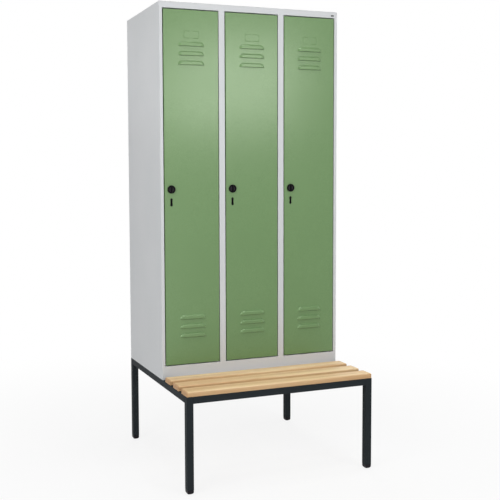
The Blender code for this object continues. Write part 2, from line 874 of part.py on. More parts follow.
def make_seat(wood):
    """The wooden slats, laid across the side rails in front of the locker."""
    for index, name in enumerate(SLAT_NAMES):
        front = BENCH_FRONT + index * (SLAT_WIDTH + SLAT_GAP)
        slat = block(
            f"seat_slat_{name}",
            (-SIDE, front, FRAME_HEIGHT + SEAM),
            (SIDE, front + SLAT_WIDTH, FRAME_HEIGHT + SLAT_THICKNESS),
            wood,
        )
        round_edges(slat, SLAT_EDGE_RADIUS)
        smooth(slat)


def main():
    grey = finish("light_grey_powder_coat", LIGHT_GREY, 0.45)
    green = finish("green_powder_coat", LEAF_GREEN, 0.4)
    anthracite = finish("anthracite_powder_coat", ANTHRACITE, 0.45)
    black = finish("black_plastic", BLACK, 0.4)
    zinc = finish("zinc_plated_steel", ZINC, 0.35, 1.0)
    wood = finish("lacquered_beech", BEECH, 0.5)
    make_casing(grey)
    make_front_frame(grey)
    make_doors(green, zinc, black)
    make_fittings(grey, zinc)
    make_bench_frame(anthracite, black)
    make_seat(wood)


main()
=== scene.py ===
"""The looks of a locker with a bench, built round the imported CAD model.

The meshes are finely made and the finishes are procedural.
"""

from __future__ import annotations

import json
import logging
import math
from collections.abc import Callable, Iterable, Mapping, Sequence
from dataclasses import dataclass, field
from enum import Enum
from typing import Any

import bmesh
import bpy
from mathutils import Matrix, Vector
from mathutils.geometry import delaunay_2d_cdt

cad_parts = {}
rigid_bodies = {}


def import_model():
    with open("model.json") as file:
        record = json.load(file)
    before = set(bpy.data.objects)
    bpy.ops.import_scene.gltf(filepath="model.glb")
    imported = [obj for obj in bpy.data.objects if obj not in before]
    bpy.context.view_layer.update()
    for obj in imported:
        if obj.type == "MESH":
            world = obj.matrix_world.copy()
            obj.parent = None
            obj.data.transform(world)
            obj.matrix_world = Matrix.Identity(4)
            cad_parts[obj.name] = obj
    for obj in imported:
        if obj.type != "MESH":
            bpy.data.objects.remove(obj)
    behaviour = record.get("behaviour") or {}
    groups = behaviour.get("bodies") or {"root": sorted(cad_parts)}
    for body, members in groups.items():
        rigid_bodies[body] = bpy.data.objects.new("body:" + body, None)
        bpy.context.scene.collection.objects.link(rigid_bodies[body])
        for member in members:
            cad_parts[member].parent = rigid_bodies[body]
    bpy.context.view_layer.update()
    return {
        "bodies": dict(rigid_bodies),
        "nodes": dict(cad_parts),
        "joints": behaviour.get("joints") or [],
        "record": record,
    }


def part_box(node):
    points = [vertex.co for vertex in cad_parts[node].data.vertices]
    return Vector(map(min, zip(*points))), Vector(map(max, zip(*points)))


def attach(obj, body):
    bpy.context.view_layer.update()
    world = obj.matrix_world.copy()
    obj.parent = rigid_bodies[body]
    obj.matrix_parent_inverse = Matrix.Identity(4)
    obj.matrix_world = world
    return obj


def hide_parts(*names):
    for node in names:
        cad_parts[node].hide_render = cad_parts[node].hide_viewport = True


LOG = logging.getLogger("locker_with_bench")
COMPARTMENTS = ("left", "middle", "right")
BENCH_CORNERS = ("front_left", "front_right", "back_left", "back_right")
SIDE_PANELS = ("side_panel_left", "side_panel_right")
SLATS = ("front", "middle", "rear")
PHOTO_SIDE = 500
HALF_SLAT_GAP = 0.0175
# The attribute of painted light: where it is set, black plastic takes its pale colour as painted
# highlight.
PAINTED_LIGHT = "paleness"
WELD_DISTANCE = 0.00002
SMOOTH_BELOW = math.radians(40)
BEVEL_ABOVE = math.radians(30)
LARGE_FACE_WEIGHT = 90
NOISE_ROUGHNESS = 0.55
WHITE = (1.0, 1.0, 1.0, 1.0)

Point = tuple[float, float]
Place = tuple[float, float, float]
Colour = tuple[int, int, int]
Corners = tuple[Vector, Vector]
Rows = Sequence[Sequence[Sequence[float]]]
Mesh = bpy.types.Mesh
Object = bpy.types.Object
Material = bpy.types.Material
Socket = bpy.types.NodeSocket


class Finish(Enum):
    """The finishes of the locker, each with the name of its material slot in the record."""

    GREY_COAT = "grey_coat"
    GREEN_COAT = "green_coat"
    ANTHRACITE_COAT = "anthracite_coat"
    BLACK_PLASTIC = "black_plastic"
    ZINC = "zinc"
    BEECH = "beech"


def linear(colour: Colour) -> tuple[float, float, float, float]:
    """Turns an sRGB colour into a shader's linear one, by the formula of that standard.

    Args:
        colour: Red, green and blue from 0 to 255.

    Returns:
        Linear red, green, blue and an alpha of 1.
    """
    shares = [value / 255 for value in colour]
    red, green, blue = (
        share / 12.92 if share <= 0.04045 else ((share + 0.055) / 1.055) ** 2.4 for share in shares
    )
    return red, green, blue, 1.0


class NodeBuilder:
    """Adds nodes to a shader or geometry tree."""

    def __init__(self, tree: bpy.types.NodeTree) -> None:
        """Keeps the tree that nodes are added to."""
        self.tree = tree

    @staticmethod
    def socket(sockets: Iterable[Socket], name: str) -> Socket:
        """Finds a socket by its identifier or, failing that, its name.

        Args:
            sockets: A node's inputs or outputs.
            name: The identifier or name.

        Returns:
            The first socket in use that has it.
        """
        found = [s for s in sockets if s.identifier == name]
        return (found or [s for s in sockets if s.name == name and s.enabled])[0]

    def node(
        self,
        kind: str,
        settings: Mapping[str, Any] | None = None,
        sockets: Mapping[str, Any] | None = None,
    ) -> bpy.types.Node:
        """Adds a node.

        Args:
            kind: The node's type.
            settings: Its properties, set first. A ramp's stops are a list of (position, colour).
            sockets: Values, links or signals for its inputs.

        Returns:
            The node.
        """
        made = self.tree.nodes.new(kind)
        for name, value in (settings or {}).items():
            if name == "stops":
                self._set_stops(made.color_ramp, value)
            else:
                setattr(made, name, value)
        for name, value in (sockets or {}).items():
            self.feed(self.socket(made.inputs, name), value)
        return made

    @staticmethod
    def _set_stops(ramp: bpy.types.ColorRamp, stops: Sequence[tuple[float, Colour]]) -> None:
        """Gives a colour ramp its stops.

        Args:
            ramp: The ramp.
            stops: The position and colour of each stop, in order.
        """
        while len(ramp.elements) < len(stops):
            ramp.elements.new(1.0)
        for element, (position, colour) in zip(ramp.elements, stops):
            element.position = position
            element.color = linear(colour)

    def feed(self, target: Socket, value: Any) -> None:
        """Gives an input its value or its link.

        Args:
            target: The input.
            value: What it is set to, or the socket or signal that is linked to it.
        """
        if isinstance(value, Signal):
            value = value.socket
        if isinstance(value, Socket):
            self.tree.links.new(value, target)
        else:
            target.default_value = value


@dataclass(frozen=True)
class Signal:
    """A number that varies over a surface. Python's operators on it add Math nodes."""

    shader: ShaderTree
    socket: Socket

    def _math(self, operation: str, *values: Signal | float) -> Signal:
        """The result of a Math node."""
        return self.shader.math(operation, *values)

    def __add__(self, other: Signal | float) -> Signal:
        """self + other."""
        return self._math("ADD", self, other)

    def __sub__(self, other: Signal | float) -> Signal:
        """self - other."""
        return self._math("SUBTRACT", self, other)

    def __rsub__(self, other: float) -> Signal:
        """other - self."""
        return self._math("SUBTRACT", other, self)

    def __mul__(self, other: Signal | float) -> Signal:
        """self * other."""
        return self._math("MULTIPLY", self, other)

    def __truediv__(self, other: Signal | float) -> Signal:
        """self / other."""
        return self._math("DIVIDE", self, other)

    __radd__ = __add__
    __rmul__ = __mul__

    def size(self) -> Signal:
        """The value without its sign."""
        return self._math("ABSOLUTE", self)

    def floor(self) -> Signal:
        """The whole number at or below the value."""
        return self._math("FLOOR", self)

    def step(self, low: float, high: float) -> Signal:
        """Steps smoothly from 0 to 1.

        Args:
            low: The value at and below which the step is 0.
            high: The value at and above which it is 1.

        Returns:
            The step.
        """
        settings = {"interpolation_type": "SMOOTHSTEP"}
        sockets = {"Value": self, "From Min": low, "From Max": high}
        made = self.shader.node("ShaderNodeMapRange", settings, sockets)
        return Signal(self.shader, self.shader.socket(made.outputs, "Result"))


class ShaderTree(NodeBuilder):
    """A material's node tree, with the nodes that the finishes use."""

    def __init__(self, name: str) -> None:
        """Makes a material that holds only an output.

        Args:
            name: The material's name.
        """
        self.material = bpy.data.materials.new(name)
        self.material.use_nodes = True
        super().__init__(self.material.node_tree)
        self.tree.nodes.clear()
        self.output = self.node("ShaderNodeOutputMaterial")
        self._coordinates = self.node("ShaderNodeTexCoord")

    def math(self, operation: str, *values: Signal | float) -> Signal:
        """Adds a Math node.

        Args:
            operation: The node's operation.
            values: Its inputs, in order.

        Returns:
            Its result.
        """
        made = self.node("ShaderNodeMath", {"operation": operation})
        for target, value in zip(made.inputs, values):
            self.feed(target, value)
        return Signal(self, made.outputs[0])

    def places(self, scale: Place = (1, 1, 1), shift: Any = (0, 0, 0)) -> Socket:
        """Gives the place on the object, scaled and shifted.

        Args:
            scale: Multiplies x, y and z.
            shift: Three numbers or a vector socket, added after that.

        Returns:
            A vector socket.
        """
        source = self.socket(self._coordinates.outputs, "Object")
        sockets = {"Vector": source, "Vector_001": scale, "Vector_002": shift}
        return self.node("ShaderNodeVectorMath", {"operation": "MULTIPLY_ADD"}, sockets).outputs[0]

    def axes(self, vector: Socket) -> list[Signal]:
        """Splits a vector into its three numbers."""
        made = self.node("ShaderNodeSeparateXYZ", None, {"Vector": vector})
        return [Signal(self, output) for output in made.outputs]

    def noise(self, vector: Socket, scale: float = 1.0, detail: float = 2.0) -> Signal:
        """Adds smooth noise around 0.5.

        Args:
            vector: Where it is read.
            scale: Bumps for each unit of the vector.
            detail: How many finer layers it has.

        Returns:
            The noise.
        """
        sockets = {"Vector": vector, "Scale": scale, "Detail": detail}
        sockets["Roughness"] = NOISE_ROUGHNESS
        made = self.node("ShaderNodeTexNoise", {"noise_dimensions": "3D"}, sockets)
        return Signal(self, made.outputs[0])

    def cells(self, vector: Socket, scale: float = 1.0) -> Signal:
        """Adds the distance to the nearest of scattered points."""
        made = self.node("ShaderNodeTexVoronoi", None, {"Vector": vector, "Scale": scale})
        return Signal(self, made.outputs[0])

    def mixed(self, factor: Signal, first: Socket | Colour, second: Colour) -> Socket:
        """Mixes two colours.

        Args:
            factor: 0 for the first colour and 1 for the second.
            first: An sRGB colour or a colour socket.
            second: An sRGB colour.

        Returns:
            A colour socket.
        """
        start = first if isinstance(first, Socket) else linear(first)
        sockets = {"Factor_Float": factor, "A_Color": start, "B_Color": linear(second)}
        made = self.node("ShaderNodeMix", {"data_type": "RGBA"}, sockets)
        return self.socket(made.outputs, "Result_Color")

    def bumped(self, height: Signal, distance: float) -> Socket:
        """Turns a height from 0 to 1 into a normal.

        Args:
            height: The height.
            distance: What a height of 1 measures, in metres.

        Returns:
            A normal socket.
        """
        sockets = {"Height": height, "Distance": distance, "Strength": 1.0}
        return self.node("ShaderNodeBump", None, sockets).outputs[0]

    @staticmethod
    def varied(middle: float, *swings: tuple[Signal, float]) -> Signal:
        """Lets a number swing round its middle value.

        Args:
            middle: The middle value.
            swings: Signals from 0 to 1, each with how much it adds.

        Returns:
            The sum.
        """
        total: Any = middle - sum(amount for _, amount in swings) / 2
        for signal, amount in reversed(swings):
            total = signal * amount + total
        return total

    def surface(self, **values: Any) -> Material:
        """Ends the tree in a Principled shader.

        Args:
            values: The shader's inputs, with underscores for spaces.

        Returns:
            The material.
        """
        sockets = {name.replace("_", " "): value for name, value in values.items()}
        shader = self.node("ShaderNodeBsdfPrincipled", None, sockets)
        self.feed(self.socket(self.output.inputs, "Surface"), shader.outputs[0])
        return self.material


@dataclass(frozen=True)
class PowderCoat:
    """Baked powder paint on sheet or tube, with its fine orange peel."""

    name: str
    colour: Colour
    cloud: Colour
    roughness: float
    peel_size: float = 0.0018
    peel_height: float = 0.000022
    specular: float = 0.5
    sheen_colour: Colour = (255, 255, 255)
    cloud_size: float = 0.30
    grains_in_peel: int = 5
    tone_shares: Point = (0.75, 0.25)
    tone_ends: Point = (0.30, 0.72)
    gloss_swings: Point = (0.08, 0.06)
    bump_shares: Point = (0.8, 0.2)

    def material(self) -> Material:
        """Builds the finish.

        Returns:
            The material.
        """
        shader = ShaderTree(self.name)
        cloud = shader.noise(shader.places(), 1 / self.cloud_size, detail=3.0)
        peel = shader.noise(shader.places(), 1 / self.peel_size, detail=1.5)
        grain = shader.noise(shader.places(), self.grains_in_peel / self.peel_size, detail=1.0)
        tone = (cloud * self.tone_shares[0] + grain * self.tone_shares[1]).step(*self.tone_ends)
        swings = zip((cloud, peel), self.gloss_swings)
        height = peel * self.bump_shares[0] + grain * self.bump_shares[1]
        return shader.surface(
            Base_Color=shader.mixed(tone, self.colour, self.cloud),
            Roughness=shader.varied(self.roughness, *swings),
            Specular_IOR_Level=self.specular,
            Specular_Tint=linear(self.sheen_colour),
            Normal=shader.bumped(height, self.peel_height),
        )


@dataclass(frozen=True)
class MouldedPlastic:
    """Injection moulded plastic with a fine eroded grain, with painted highlight mixed in by a
    piece's attribute of painted light.
    """

    name: str
    colour: Colour
    worn: Colour
    # pale is the colour of the painted highlight.
    pale: Colour
    roughness: float
    specular: float = 0.25
    grain_size: float = 0.0005
    grain_height: float = 0.000014
    flow_scale: Place = (60, 60, 25)
    flow_ends: Point = (0.35, 0.75)
    gloss_swings: Point = (0.10, 0.08)

    def material(self) -> Material:
        """Builds the finish.

        Returns:
            The material.
        """
        shader = ShaderTree(self.name)
        grain = shader.noise(shader.places(), 1 / self.grain_size)
        flow = shader.noise(shader.places(self.flow_scale))
        skin = shader.mixed(flow.step(*self.flow_ends), self.colour, self.worn)
        # Painted highlight: the attribute of painted light mixes the pale colour in.
        paleness = shader.node("ShaderNodeAttribute", {"attribute_name": PAINTED_LIGHT}).outputs
        share = Signal(shader, shader.socket(paleness, "Fac")).step(0.0, 1.0)
        swings = zip((grain, flow), self.gloss_swings)
        return shader.surface(
            Base_Color=shader.mixed(share, skin, self.pale),
            Roughness=shader.varied(self.roughness, *swings),
            Specular_IOR_Level=self.specular,
            Normal=shader.bumped(grain, self.grain_height),
        )


@dataclass(frozen=True)
class ZincPlate:
    """Bright zinc plating, faintly mottled and brushed along its length."""

    name: str
    colour: Colour
    dull: Colour
    roughness: float
    spangle_size: float = 0.007
    haze_scale: float = 45.0
    brush_scale: Place = (90, 2600, 2600)
    brush_height: float = 0.000004
    tone_shares: Point = (0.4, 0.6)
    tone_ends: Point = (0.2, 0.75)
    gloss_swings: Point = (0.16, 0.10)

    def material(self) -> Material:
        """Builds the finish.

        Returns:
            The material.
        """
        shader = ShaderTree(self.name)
        spangle = shader.cells(shader.places(), 1 / self.spangle_size)
        haze = shader.noise(shader.places(), self.haze_scale, detail=3.0)
        brushed = shader.noise(shader.places(self.brush_scale), detail=1.0)
        tone = (spangle * self.tone_shares[0] + haze * self.tone_shares[1]).step(*self.tone_ends)
        swings = zip((haze, brushed), self.gloss_swings)
        return shader.surface(
            Base_Color=shader.mixed(tone, self.colour, self.dull),
            Metallic=1.0,
            Roughness=shader.varied(self.roughness, *swings),
            Normal=shader.bumped(brushed, self.brush_height),
        )


@dataclass(frozen=True)
class LacqueredBeech:
    """Steamed beech under clear lacquer, with its grain along X, its short dark flecks, and painted
    shade with a darker edge-grain tone on its vertical faces.

    The scales are of each pattern along x, y and z. A pair of ends is where a step starts and
    stops, as a share of the noise or as depths in metres below the top or before the end.
    """

    name: str
    light: Colour
    middle: Colour
    dark: Colour
    rosy: Colour
    fleck: Colour
    end_grain: Colour
    side_grain_and_shade: Colour
    first_edge: float
    board_pitch: float
    half_length: float
    top: float
    roughness: float = 0.46
    specular: float = 0.2
    coat: float = 0.03
    coat_roughness: float = 0.25
    board_shifts: tuple[Point, ...] = ((5.3, 1.7), (3.1, 0.4), (7.9, 2.2))
    streak_scale: Place = (1.4, 34, 34)
    band_scale: Place = (0.9, 13, 13)
    fibre_scale: Place = (22, 900, 900)
    ray_scale: Place = (260, 1250, 1250)
    streak_share: float = 0.75
    streak_ends: Point = (0.33, 0.72)
    band_ends: Point = (0.42, 0.70)
    ray_ends: Point = (0.08, 0.26)
    side_grain_and_shade_ends: Point = (0.0055, 0.0002)
    end_ends: Point = (0.007, 0.003)
    rosy_share: float = 0.7
    fleck_share: float = 0.35
    side_grain_and_shade_share: float = 0.55
    end_share: float = 0.7
    fibre_gloss: float = 0.10
    end_gloss: float = 0.12
    bump_shares: Point = (0.7, 0.3)
    bump_height: float = 0.00002

    def material(self) -> Material:
        """Builds the finish. Each board reads the pattern at a place of its own.

        Returns:
            The material.
        """
        shader = ShaderTree(self.name)
        across, depth, height = shader.axes(shader.places())
        board = ((depth - self.first_edge) / self.board_pitch).floor()
        shifts = {axis: board * by + start for axis, (by, start) in zip("XYZ", self.board_shifts)}
        shift = shader.node("ShaderNodeCombineXYZ", None, shifts).outputs[0]
        streaks = shader.noise(shader.places(self.streak_scale, shift), detail=4.0)
        bands = shader.noise(shader.places(self.band_scale, shift))
        fibres = shader.noise(shader.places(self.fibre_scale, shift))
        rays = shader.cells(shader.places(self.ray_scale, shift))
        grain = streaks * self.streak_share + fibres * (1 - self.streak_share)
        wood = shader.node(
            "ShaderNodeValToRGB",
            {"stops": [(0.0, self.light), (0.5, self.middle), (1.0, self.dark)]},
            {"Fac": grain.step(*self.streak_ends)},
        ).outputs[0]
        # Painted shade with a darker edge-grain tone: the vertical faces and the lower part of the
        # rounded top edges darken towards the side colour.
        sides = 1 - height.step(*(self.top - depth for depth in self.side_grain_and_shade_ends))
        ends = across.size().step(*(self.half_length - inset for inset in self.end_ends))
        for share, colour in (
            (bands.step(*self.band_ends) * self.rosy_share, self.rosy),
            ((1 - rays.step(*self.ray_ends)) * self.fleck_share, self.fleck),
            (sides * self.side_grain_and_shade_share, self.side_grain_and_shade),
            (ends * self.end_share, self.end_grain),
        ):
            wood = shader.mixed(share, wood, colour)
        gloss = ends * self.end_gloss + (self.roughness - self.fibre_gloss / 2)
        bump = fibres * self.bump_shares[0] + rays * self.bump_shares[1]
        return shader.surface(
            Base_Color=wood,
            Roughness=fibres * self.fibre_gloss + gloss,
            Specular_IOR_Level=self.specular,
            Coat_Weight=self.coat,
            Coat_Roughness=self.coat_roughness,
            Normal=shader.bumped(bump, self.bump_height),
        )


class Workshop:
    """Holds the loaded frame and the materials, and shows each piece."""

    def __init__(self, frame: Mapping[str, Any], materials: Mapping[Finish, Material]) -> None:
        """Keeps the CAD nodes of the frame and one material for each finish."""
        self.nodes: Mapping[str, Any] = frame["nodes"]
        self.materials = materials

    def show(
        self, name: str, mesh: Mesh, finish: Finish, *nodes: str, body: str = "cabinet"
    ) -> None:
        """Adds a piece to the scene, in an object at the origin.

        Args:
            name: Its name.
            mesh: Its finished mesh.
            finish: What it is coated with or made of.
            nodes: The CAD nodes that it stands for.
            body: The body that it moves with.
        """
        obj = placed(name, mesh)
        mesh.name = name
        mesh.materials.clear()
        mesh.materials.append(self.materials[finish])
        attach(obj, body)
        if nodes:
            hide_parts(*nodes)
        LOG.info("%s: %d faces on %s", name, len(mesh.polygons), body)


@dataclass
class SubAssembly:
    """A group of pieces that is built in one go. Its other fields are its sizes."""

    workshop: Workshop


def placed(name: str, data: Any) -> Object:
    """Adds an object to the scene.

    Args:
        name: The object's name.
        data: The mesh, curve, lamp or camera that it holds.

    Returns:
        The object.
    """
    obj = bpy.data.objects.new(name, data)
    bpy.context.scene.collection.objects.link(obj)
    return obj


def box(*nodes: str) -> Corners:
    """Gives the box round one or more CAD nodes.

    Args:
        nodes: Their names.

    Returns:
        Its lowest and its highest corner.
    """
    lows, highs = zip(*(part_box(node) for node in nodes))
    low, high = [min(axis) for axis in zip(*lows)], [max(axis) for axis in zip(*highs)]
    return Vector(low), Vector(high)


def slat_boxes() -> list[Corners]:
    """The corners of each slat of the seat."""
    return [box(f"seat_slat_{name}") for name in SLATS]


def centre(low: Vector, high: Vector) -> Vector:
    """The middle of a box."""
    return (low + high) / 2


def rectangle(left: float, right: float, bottom: float, top: float) -> list[Point]:
    """The corners of a rectangle, anticlockwise."""
    return [(left, bottom), (right, bottom), (right, top), (left, top)]


def rounded_rectangle(
    width: float, height: float, radius: float, segments: int = 5
) -> list[Point]:
    """Gives the points of a rectangle with round corners, anticlockwise round the origin.

    Args:
        width: The size along the first axis.
        height: The size along the second axis.
        radius: The corners' radius. With 0, each corner's points coincide.
        segments: The steps of each corner.

    Returns:
        The points.
    """
    points = []
    for quarter, (across, up) in enumerate(((1, 1), (-1, 1), (-1, -1), (1, -1))):
        middle = (across * (width / 2 - radius), up * (height / 2 - radius))
        for step in range(segments + 1):
            angle = (quarter + step / segments) * math.pi / 2
            x, y = radius * math.cos(angle), radius * math.sin(angle)
            points.append((middle[0] + x, middle[1] + y))
    return points


def circle(radius: float, segments: int) -> list[Point]:
    """The points of a circle round the origin, anticlockwise."""
    angles = [2 * math.pi * step / segments for step in range(segments)]
    return [(radius * math.cos(angle), radius * math.sin(angle)) for angle in angles]


def quarter_bend(radius: float, steps: int) -> list[Point]:
    """Follows a round bend from a face to the side next to it.

    Args:
        radius: The bend's radius.
        steps: Its steps.

    Returns:
        How far each point stands inside the side, and how far behind the face.
    """
    turns = [step / steps * math.pi / 2 for step in range(steps + 1)]
    return [(radius * (1 - math.sin(turn)), radius * (1 - math.cos(turn))) for turn in turns]


def spread(start: float, length: float, steps: int) -> list[float]:
    """Even steps along a length, with both its ends."""
    return [start + length * step / steps for step in range(steps + 1)]


def clamped(value: float) -> float:
    """The value, kept between 0 and 1."""
    return min(max(value, 0.0), 1.0)


def moved(points: Iterable[Point], across: float, up: float) -> list[Point]:
    """The points, shifted."""
    return [(x + across, y + up) for x, y in points]


def border(columns: Sequence[float], rows: Sequence[float], lower: Sequence[float]) -> list[Point]:
    """Walks once round a grid.

    Args:
        columns: The x of its columns.
        rows: The z of its rows.
        lower: The x of the points that the lowest row has on the way.

    Returns:
        The points, anticlockwise.
    """
    loop = [(x, rows[0]) for x in lower] + [(columns[-1], z) for z in rows[1:]]
    loop += [(x, rows[-1]) for x in reversed(columns[:-1])]
    return loop + [(columns[0], z) for z in reversed(rows[1:-1])]


def inside(point: Point, loop: Sequence[Point]) -> bool:
    """Tells whether a point lies in a closed loop.

    Args:
        point: The point.
        loop: The loop's corners, in order.

    Returns:
        True if it does.
    """
    x, y = point
    found = False
    for (ax, ay), (bx, by) in zip(loop, [*loop[1:], loop[0]]):
        if (ay > y) != (by > y) and x < (bx - ax) * (y - ay) / (by - ay) + ax:
            found = not found
    return found


def mesh_from(bm: bmesh.types.BMesh, name: str) -> Mesh:
    """Makes a mesh of faces that are then let go.

    Args:
        bm: The faces.
        name: The mesh's name.

    Returns:
        The mesh.
    """
    mesh = bpy.data.meshes.new(name)
    bm.to_mesh(mesh)
    bm.free()
    return mesh


def welded(source: Mesh, flat_below: float = 0.0) -> Mesh:
    """Merges the doubles of a mesh and turns its faces outwards.

    Args:
        source: The mesh, which stays as it is.
        flat_below: The angle below which faces are joined into one.

    Returns:
        A new mesh.
    """
    bm = bmesh.new()
    bm.from_mesh(source)
    bmesh.ops.remove_doubles(bm, verts=bm.verts, dist=WELD_DISTANCE)
    if flat_below:
        bmesh.ops.dissolve_limit(bm, angle_limit=flat_below, verts=bm.verts, edges=bm.edges)
    bmesh.ops.recalc_face_normals(bm, faces=bm.faces)
    return mesh_from(bm, source.name)


class Surface:
    """A surface that is gathered from plates, strips and grids, then welded into one mesh."""

    def __init__(self) -> None:
        """Starts with no faces."""
        self.bm = bmesh.new()

    def strip(self, rows: Rows, closed: bool = True) -> Surface:
        """Joins rows of points with quads.

        Args:
            rows: Rows with the same number of points.
            closed: Whether each row's last point joins its first.

        Returns:
            This surface.
        """
        made = [[self.bm.verts.new(point) for point in row] for row in rows]
        for first, second in zip(made, made[1:]):
            count = len(first)
            for index in range(count if closed else count - 1):
                after = (index + 1) % count
                self.bm.faces.new((first[index], first[after], second[after], second[index]))
        return self

    def solid(self, rows: Rows) -> Surface:
        """Joins closed rows of points with quads, and closes both ends."""
        return self.strip(rows).cap(rows[0]).cap(rows[-1])

    def plate(
        self,
        outline: Sequence[Point],
        holes: Sequence[Sequence[Point]],
        place: Callable[[float, float], Place],
    ) -> Surface:
        """Fills a flat outline that has holes in it.

        Args:
            outline: The outer loop.
            holes: The loops that stay open.
            place: Turns a point of the plane into a place.

        Returns:
            This surface.
        """
        points: list[Vector] = []
        edges: list[tuple[int, int]] = []
        for loop in (outline, *holes):
            first, count = len(points), len(loop)
            points.extend(Vector(point) for point in loop)
            edges.extend((first + i, first + (i + 1) % count) for i in range(count))
        corners, _, faces, *_ = delaunay_2d_cdt(points, edges, [], 0, WELD_DISTANCE / 4)
        verts = [self.bm.verts.new(place(corner.x, corner.y)) for corner in corners]
        for face in faces:
            middle = sum((corners[i] for i in face), Vector((0, 0))) / len(face)
            spot = (middle.x, middle.y)
            if inside(spot, outline) and not any(inside(spot, hole) for hole in holes):
                self.bm.faces.new([verts[i] for i in face])
        return self

    def cap(self, row: Sequence[Sequence[float]]) -> Surface:
        """Closes a row of points with one face."""
        self.bm.faces.new([self.bm.verts.new(point) for point in row])
        return self

    def grid(self, columns: Sequence[float], rows: Sequence[float], place: Callable) -> Surface:
        """Adds a grid of quads.

        Args:
            columns: The x of its columns.
            rows: The z of its rows.
            place: Turns an x and a z into a place.

        Returns:
            This surface.
        """
        return self.strip([[place(x, z) for z in rows] for x in columns], closed=False)

    def mesh(self, name: str, towards: Place | None = None) -> Mesh:
        """Welds the surface and makes it a mesh.

        Args:
            name: The mesh's name.
            towards: For an open surface, the way that its furthest face that way must look.

        Returns:
            The mesh. Without towards, a closed surface's faces look outwards.
        """
        bm = self.bm
        bmesh.ops.remove_doubles(bm, verts=bm.verts, dist=WELD_DISTANCE)
        bmesh.ops.dissolve_degenerate(bm, edges=bm.edges, dist=WELD_DISTANCE / 2)
        bmesh.ops.recalc_face_normals(bm, faces=bm.faces)
        if towards:
            way = Vector(towards)
            outer = max(
                bm.faces,
                key=lambda face: (round(face.calc_center_median().dot(way), 5), face.calc_area()),
            )
            if outer.normal.dot(way) < 0:
                bmesh.ops.reverse_faces(bm, faces=bm.faces)
        return mesh_from(bm, name)


@dataclass(frozen=True)
class Making:
    """The modifiers that finish a mesh, in the order in which they run after the union."""

    bend: float = 0.0
    wall: float = 0.0
    edge: float = 0.0
    segments: int = 4
    weighted: bool = False
    union: Mesh | None = None

    def of(self, mesh: Mesh) -> Mesh:
        """Finishes a mesh.

        Args:
            mesh: The mesh, which is used up.

        Returns:
            A plain mesh with smooth shading and weighted normals.
        """
        obj = placed(mesh.name, mesh)
        helper = self._join(obj)
        if self.bend:
            self._round(obj, "bend", self.bend)
        if self.wall:
            wall = obj.modifiers.new("wall", "SOLIDIFY")
            wall.thickness, wall.offset = self.wall, -1
            wall.use_even_offset = wall.use_quality_normals = True
        if self.edge:
            self._round(obj, "edge", self.edge)
        made = evaluated_mesh(obj)
        if helper:
            bpy.data.objects.remove(helper, do_unlink=True)
        return shaded(made)

    def _round(self, obj: Object, name: str, radius: float) -> None:
        """Adds a Bevel.

        Args:
            obj: The object that gets it.
            name: The modifier's name.
            radius: The width of the rounding.
        """
        bevel = obj.modifiers.new(name, "BEVEL")
        bevel.width, bevel.segments = radius, self.segments
        bevel.limit_method = "WEIGHT" if self.weighted else "ANGLE"
        bevel.angle_limit = BEVEL_ABOVE

    def _join(self, obj: Object) -> Object | None:
        """Adds a Boolean with the other mesh, if there is one.

        Args:
            obj: The object that gets it.

        Returns:
            The object that holds the other mesh.
        """
        if self.union is None:
            return None
        helper = placed("joined", self.union)
        boolean = obj.modifiers.new("joined", "BOOLEAN")
        boolean.operation, boolean.solver, boolean.object = "UNION", "EXACT", helper
        return helper


BROKEN_EDGES = Making(edge=0.0002, segments=2)


def evaluated_mesh(obj: Object) -> Mesh:
    """Turns an object with modifiers, or a curve, into a plain mesh.

    Args:
        obj: The object, which is removed.

    Returns:
        The mesh.
    """
    bpy.context.view_layer.update()
    graph = bpy.context.evaluated_depsgraph_get()
    mesh = bpy.data.meshes.new_from_object(obj.evaluated_get(graph), depsgraph=graph)
    bpy.data.objects.remove(obj, do_unlink=True)
    return mesh


def shaded(mesh: Mesh) -> Mesh:
    """Shades a mesh smoothly, with normals that keep its large faces flat.

    Args:
        mesh: The mesh, which is used up.

    Returns:
        The mesh to show.
    """
    mesh.shade_smooth()
    mesh.set_sharp_from_angle(angle=SMOOTH_BELOW)
    obj = placed(mesh.name, mesh)
    weighted = obj.modifiers.new("weighted", "WEIGHTED_NORMAL")
    weighted.keep_sharp, weighted.weight = True, LARGE_FACE_WEIGHT
    return evaluated_mesh(obj)


def with_painted_light(mesh: Mesh, shares: Sequence[float]) -> Mesh:
    """Gives a mesh its painted light, a share of painted highlight that black plastic reads as its
    pale colour.

    Args:
        mesh: The mesh.
        shares: The painted light of each vertex, from 0 to 1.

    Returns:
        The same mesh.
    """
    mesh.attributes.new(PAINTED_LIGHT, "FLOAT", "POINT").data.foreach_set("value", shares)
    return mesh


def copied(mesh: Mesh, shift: Sequence[float]) -> Mesh:
    """A copy of a mesh at another place."""
    made = mesh.copy()
    made.transform(Matrix.Translation(Vector(shift)))
    return made


def box_surface(
    low: Vector, high: Vector, open_sides: Sequence[tuple[int, int]] = ()
) -> Surface:
    """Makes the faces of a box.

    Args:
        low: The lowest corner.
        high: The highest corner.
        open_sides: The sides left open, as (axis, direction).

    Returns:
        The surface.
    """
    surface = Surface()
    ends = {-1: low, 1: high}
    for axis in range(3):
        first, second = (axis + 1) % 3, (axis + 2) % 3
        for way in (-1, 1):
            if (axis, way) in open_sides:
                continue
            row = []
            for a, b in rectangle(-1, 1, -1, 1):
                point = Vector((0, 0, 0))
                point[axis] = ends[way][axis]
                point[first], point[second] = ends[a][first], ends[b][second]
                row.append(point)
            surface.cap(row)
    return surface


def turned(name: str, profile: Sequence[Point], axis: Matrix, segments: int) -> Mesh:
    """Turns a profile into a closed mesh.

    Args:
        name: The mesh's name.
        profile: Points of radius and height, from one end of the axis to the other.
        axis: Where the Z axis of the profile goes.
        segments: The steps of a full turn.

    Returns:
        The mesh.
    """
    rows = [[(x, y, height) for x, y in circle(radius, segments)] for radius, height in profile]
    mesh = Surface().solid(rows).mesh(name)
    mesh.transform(axis)
    return mesh


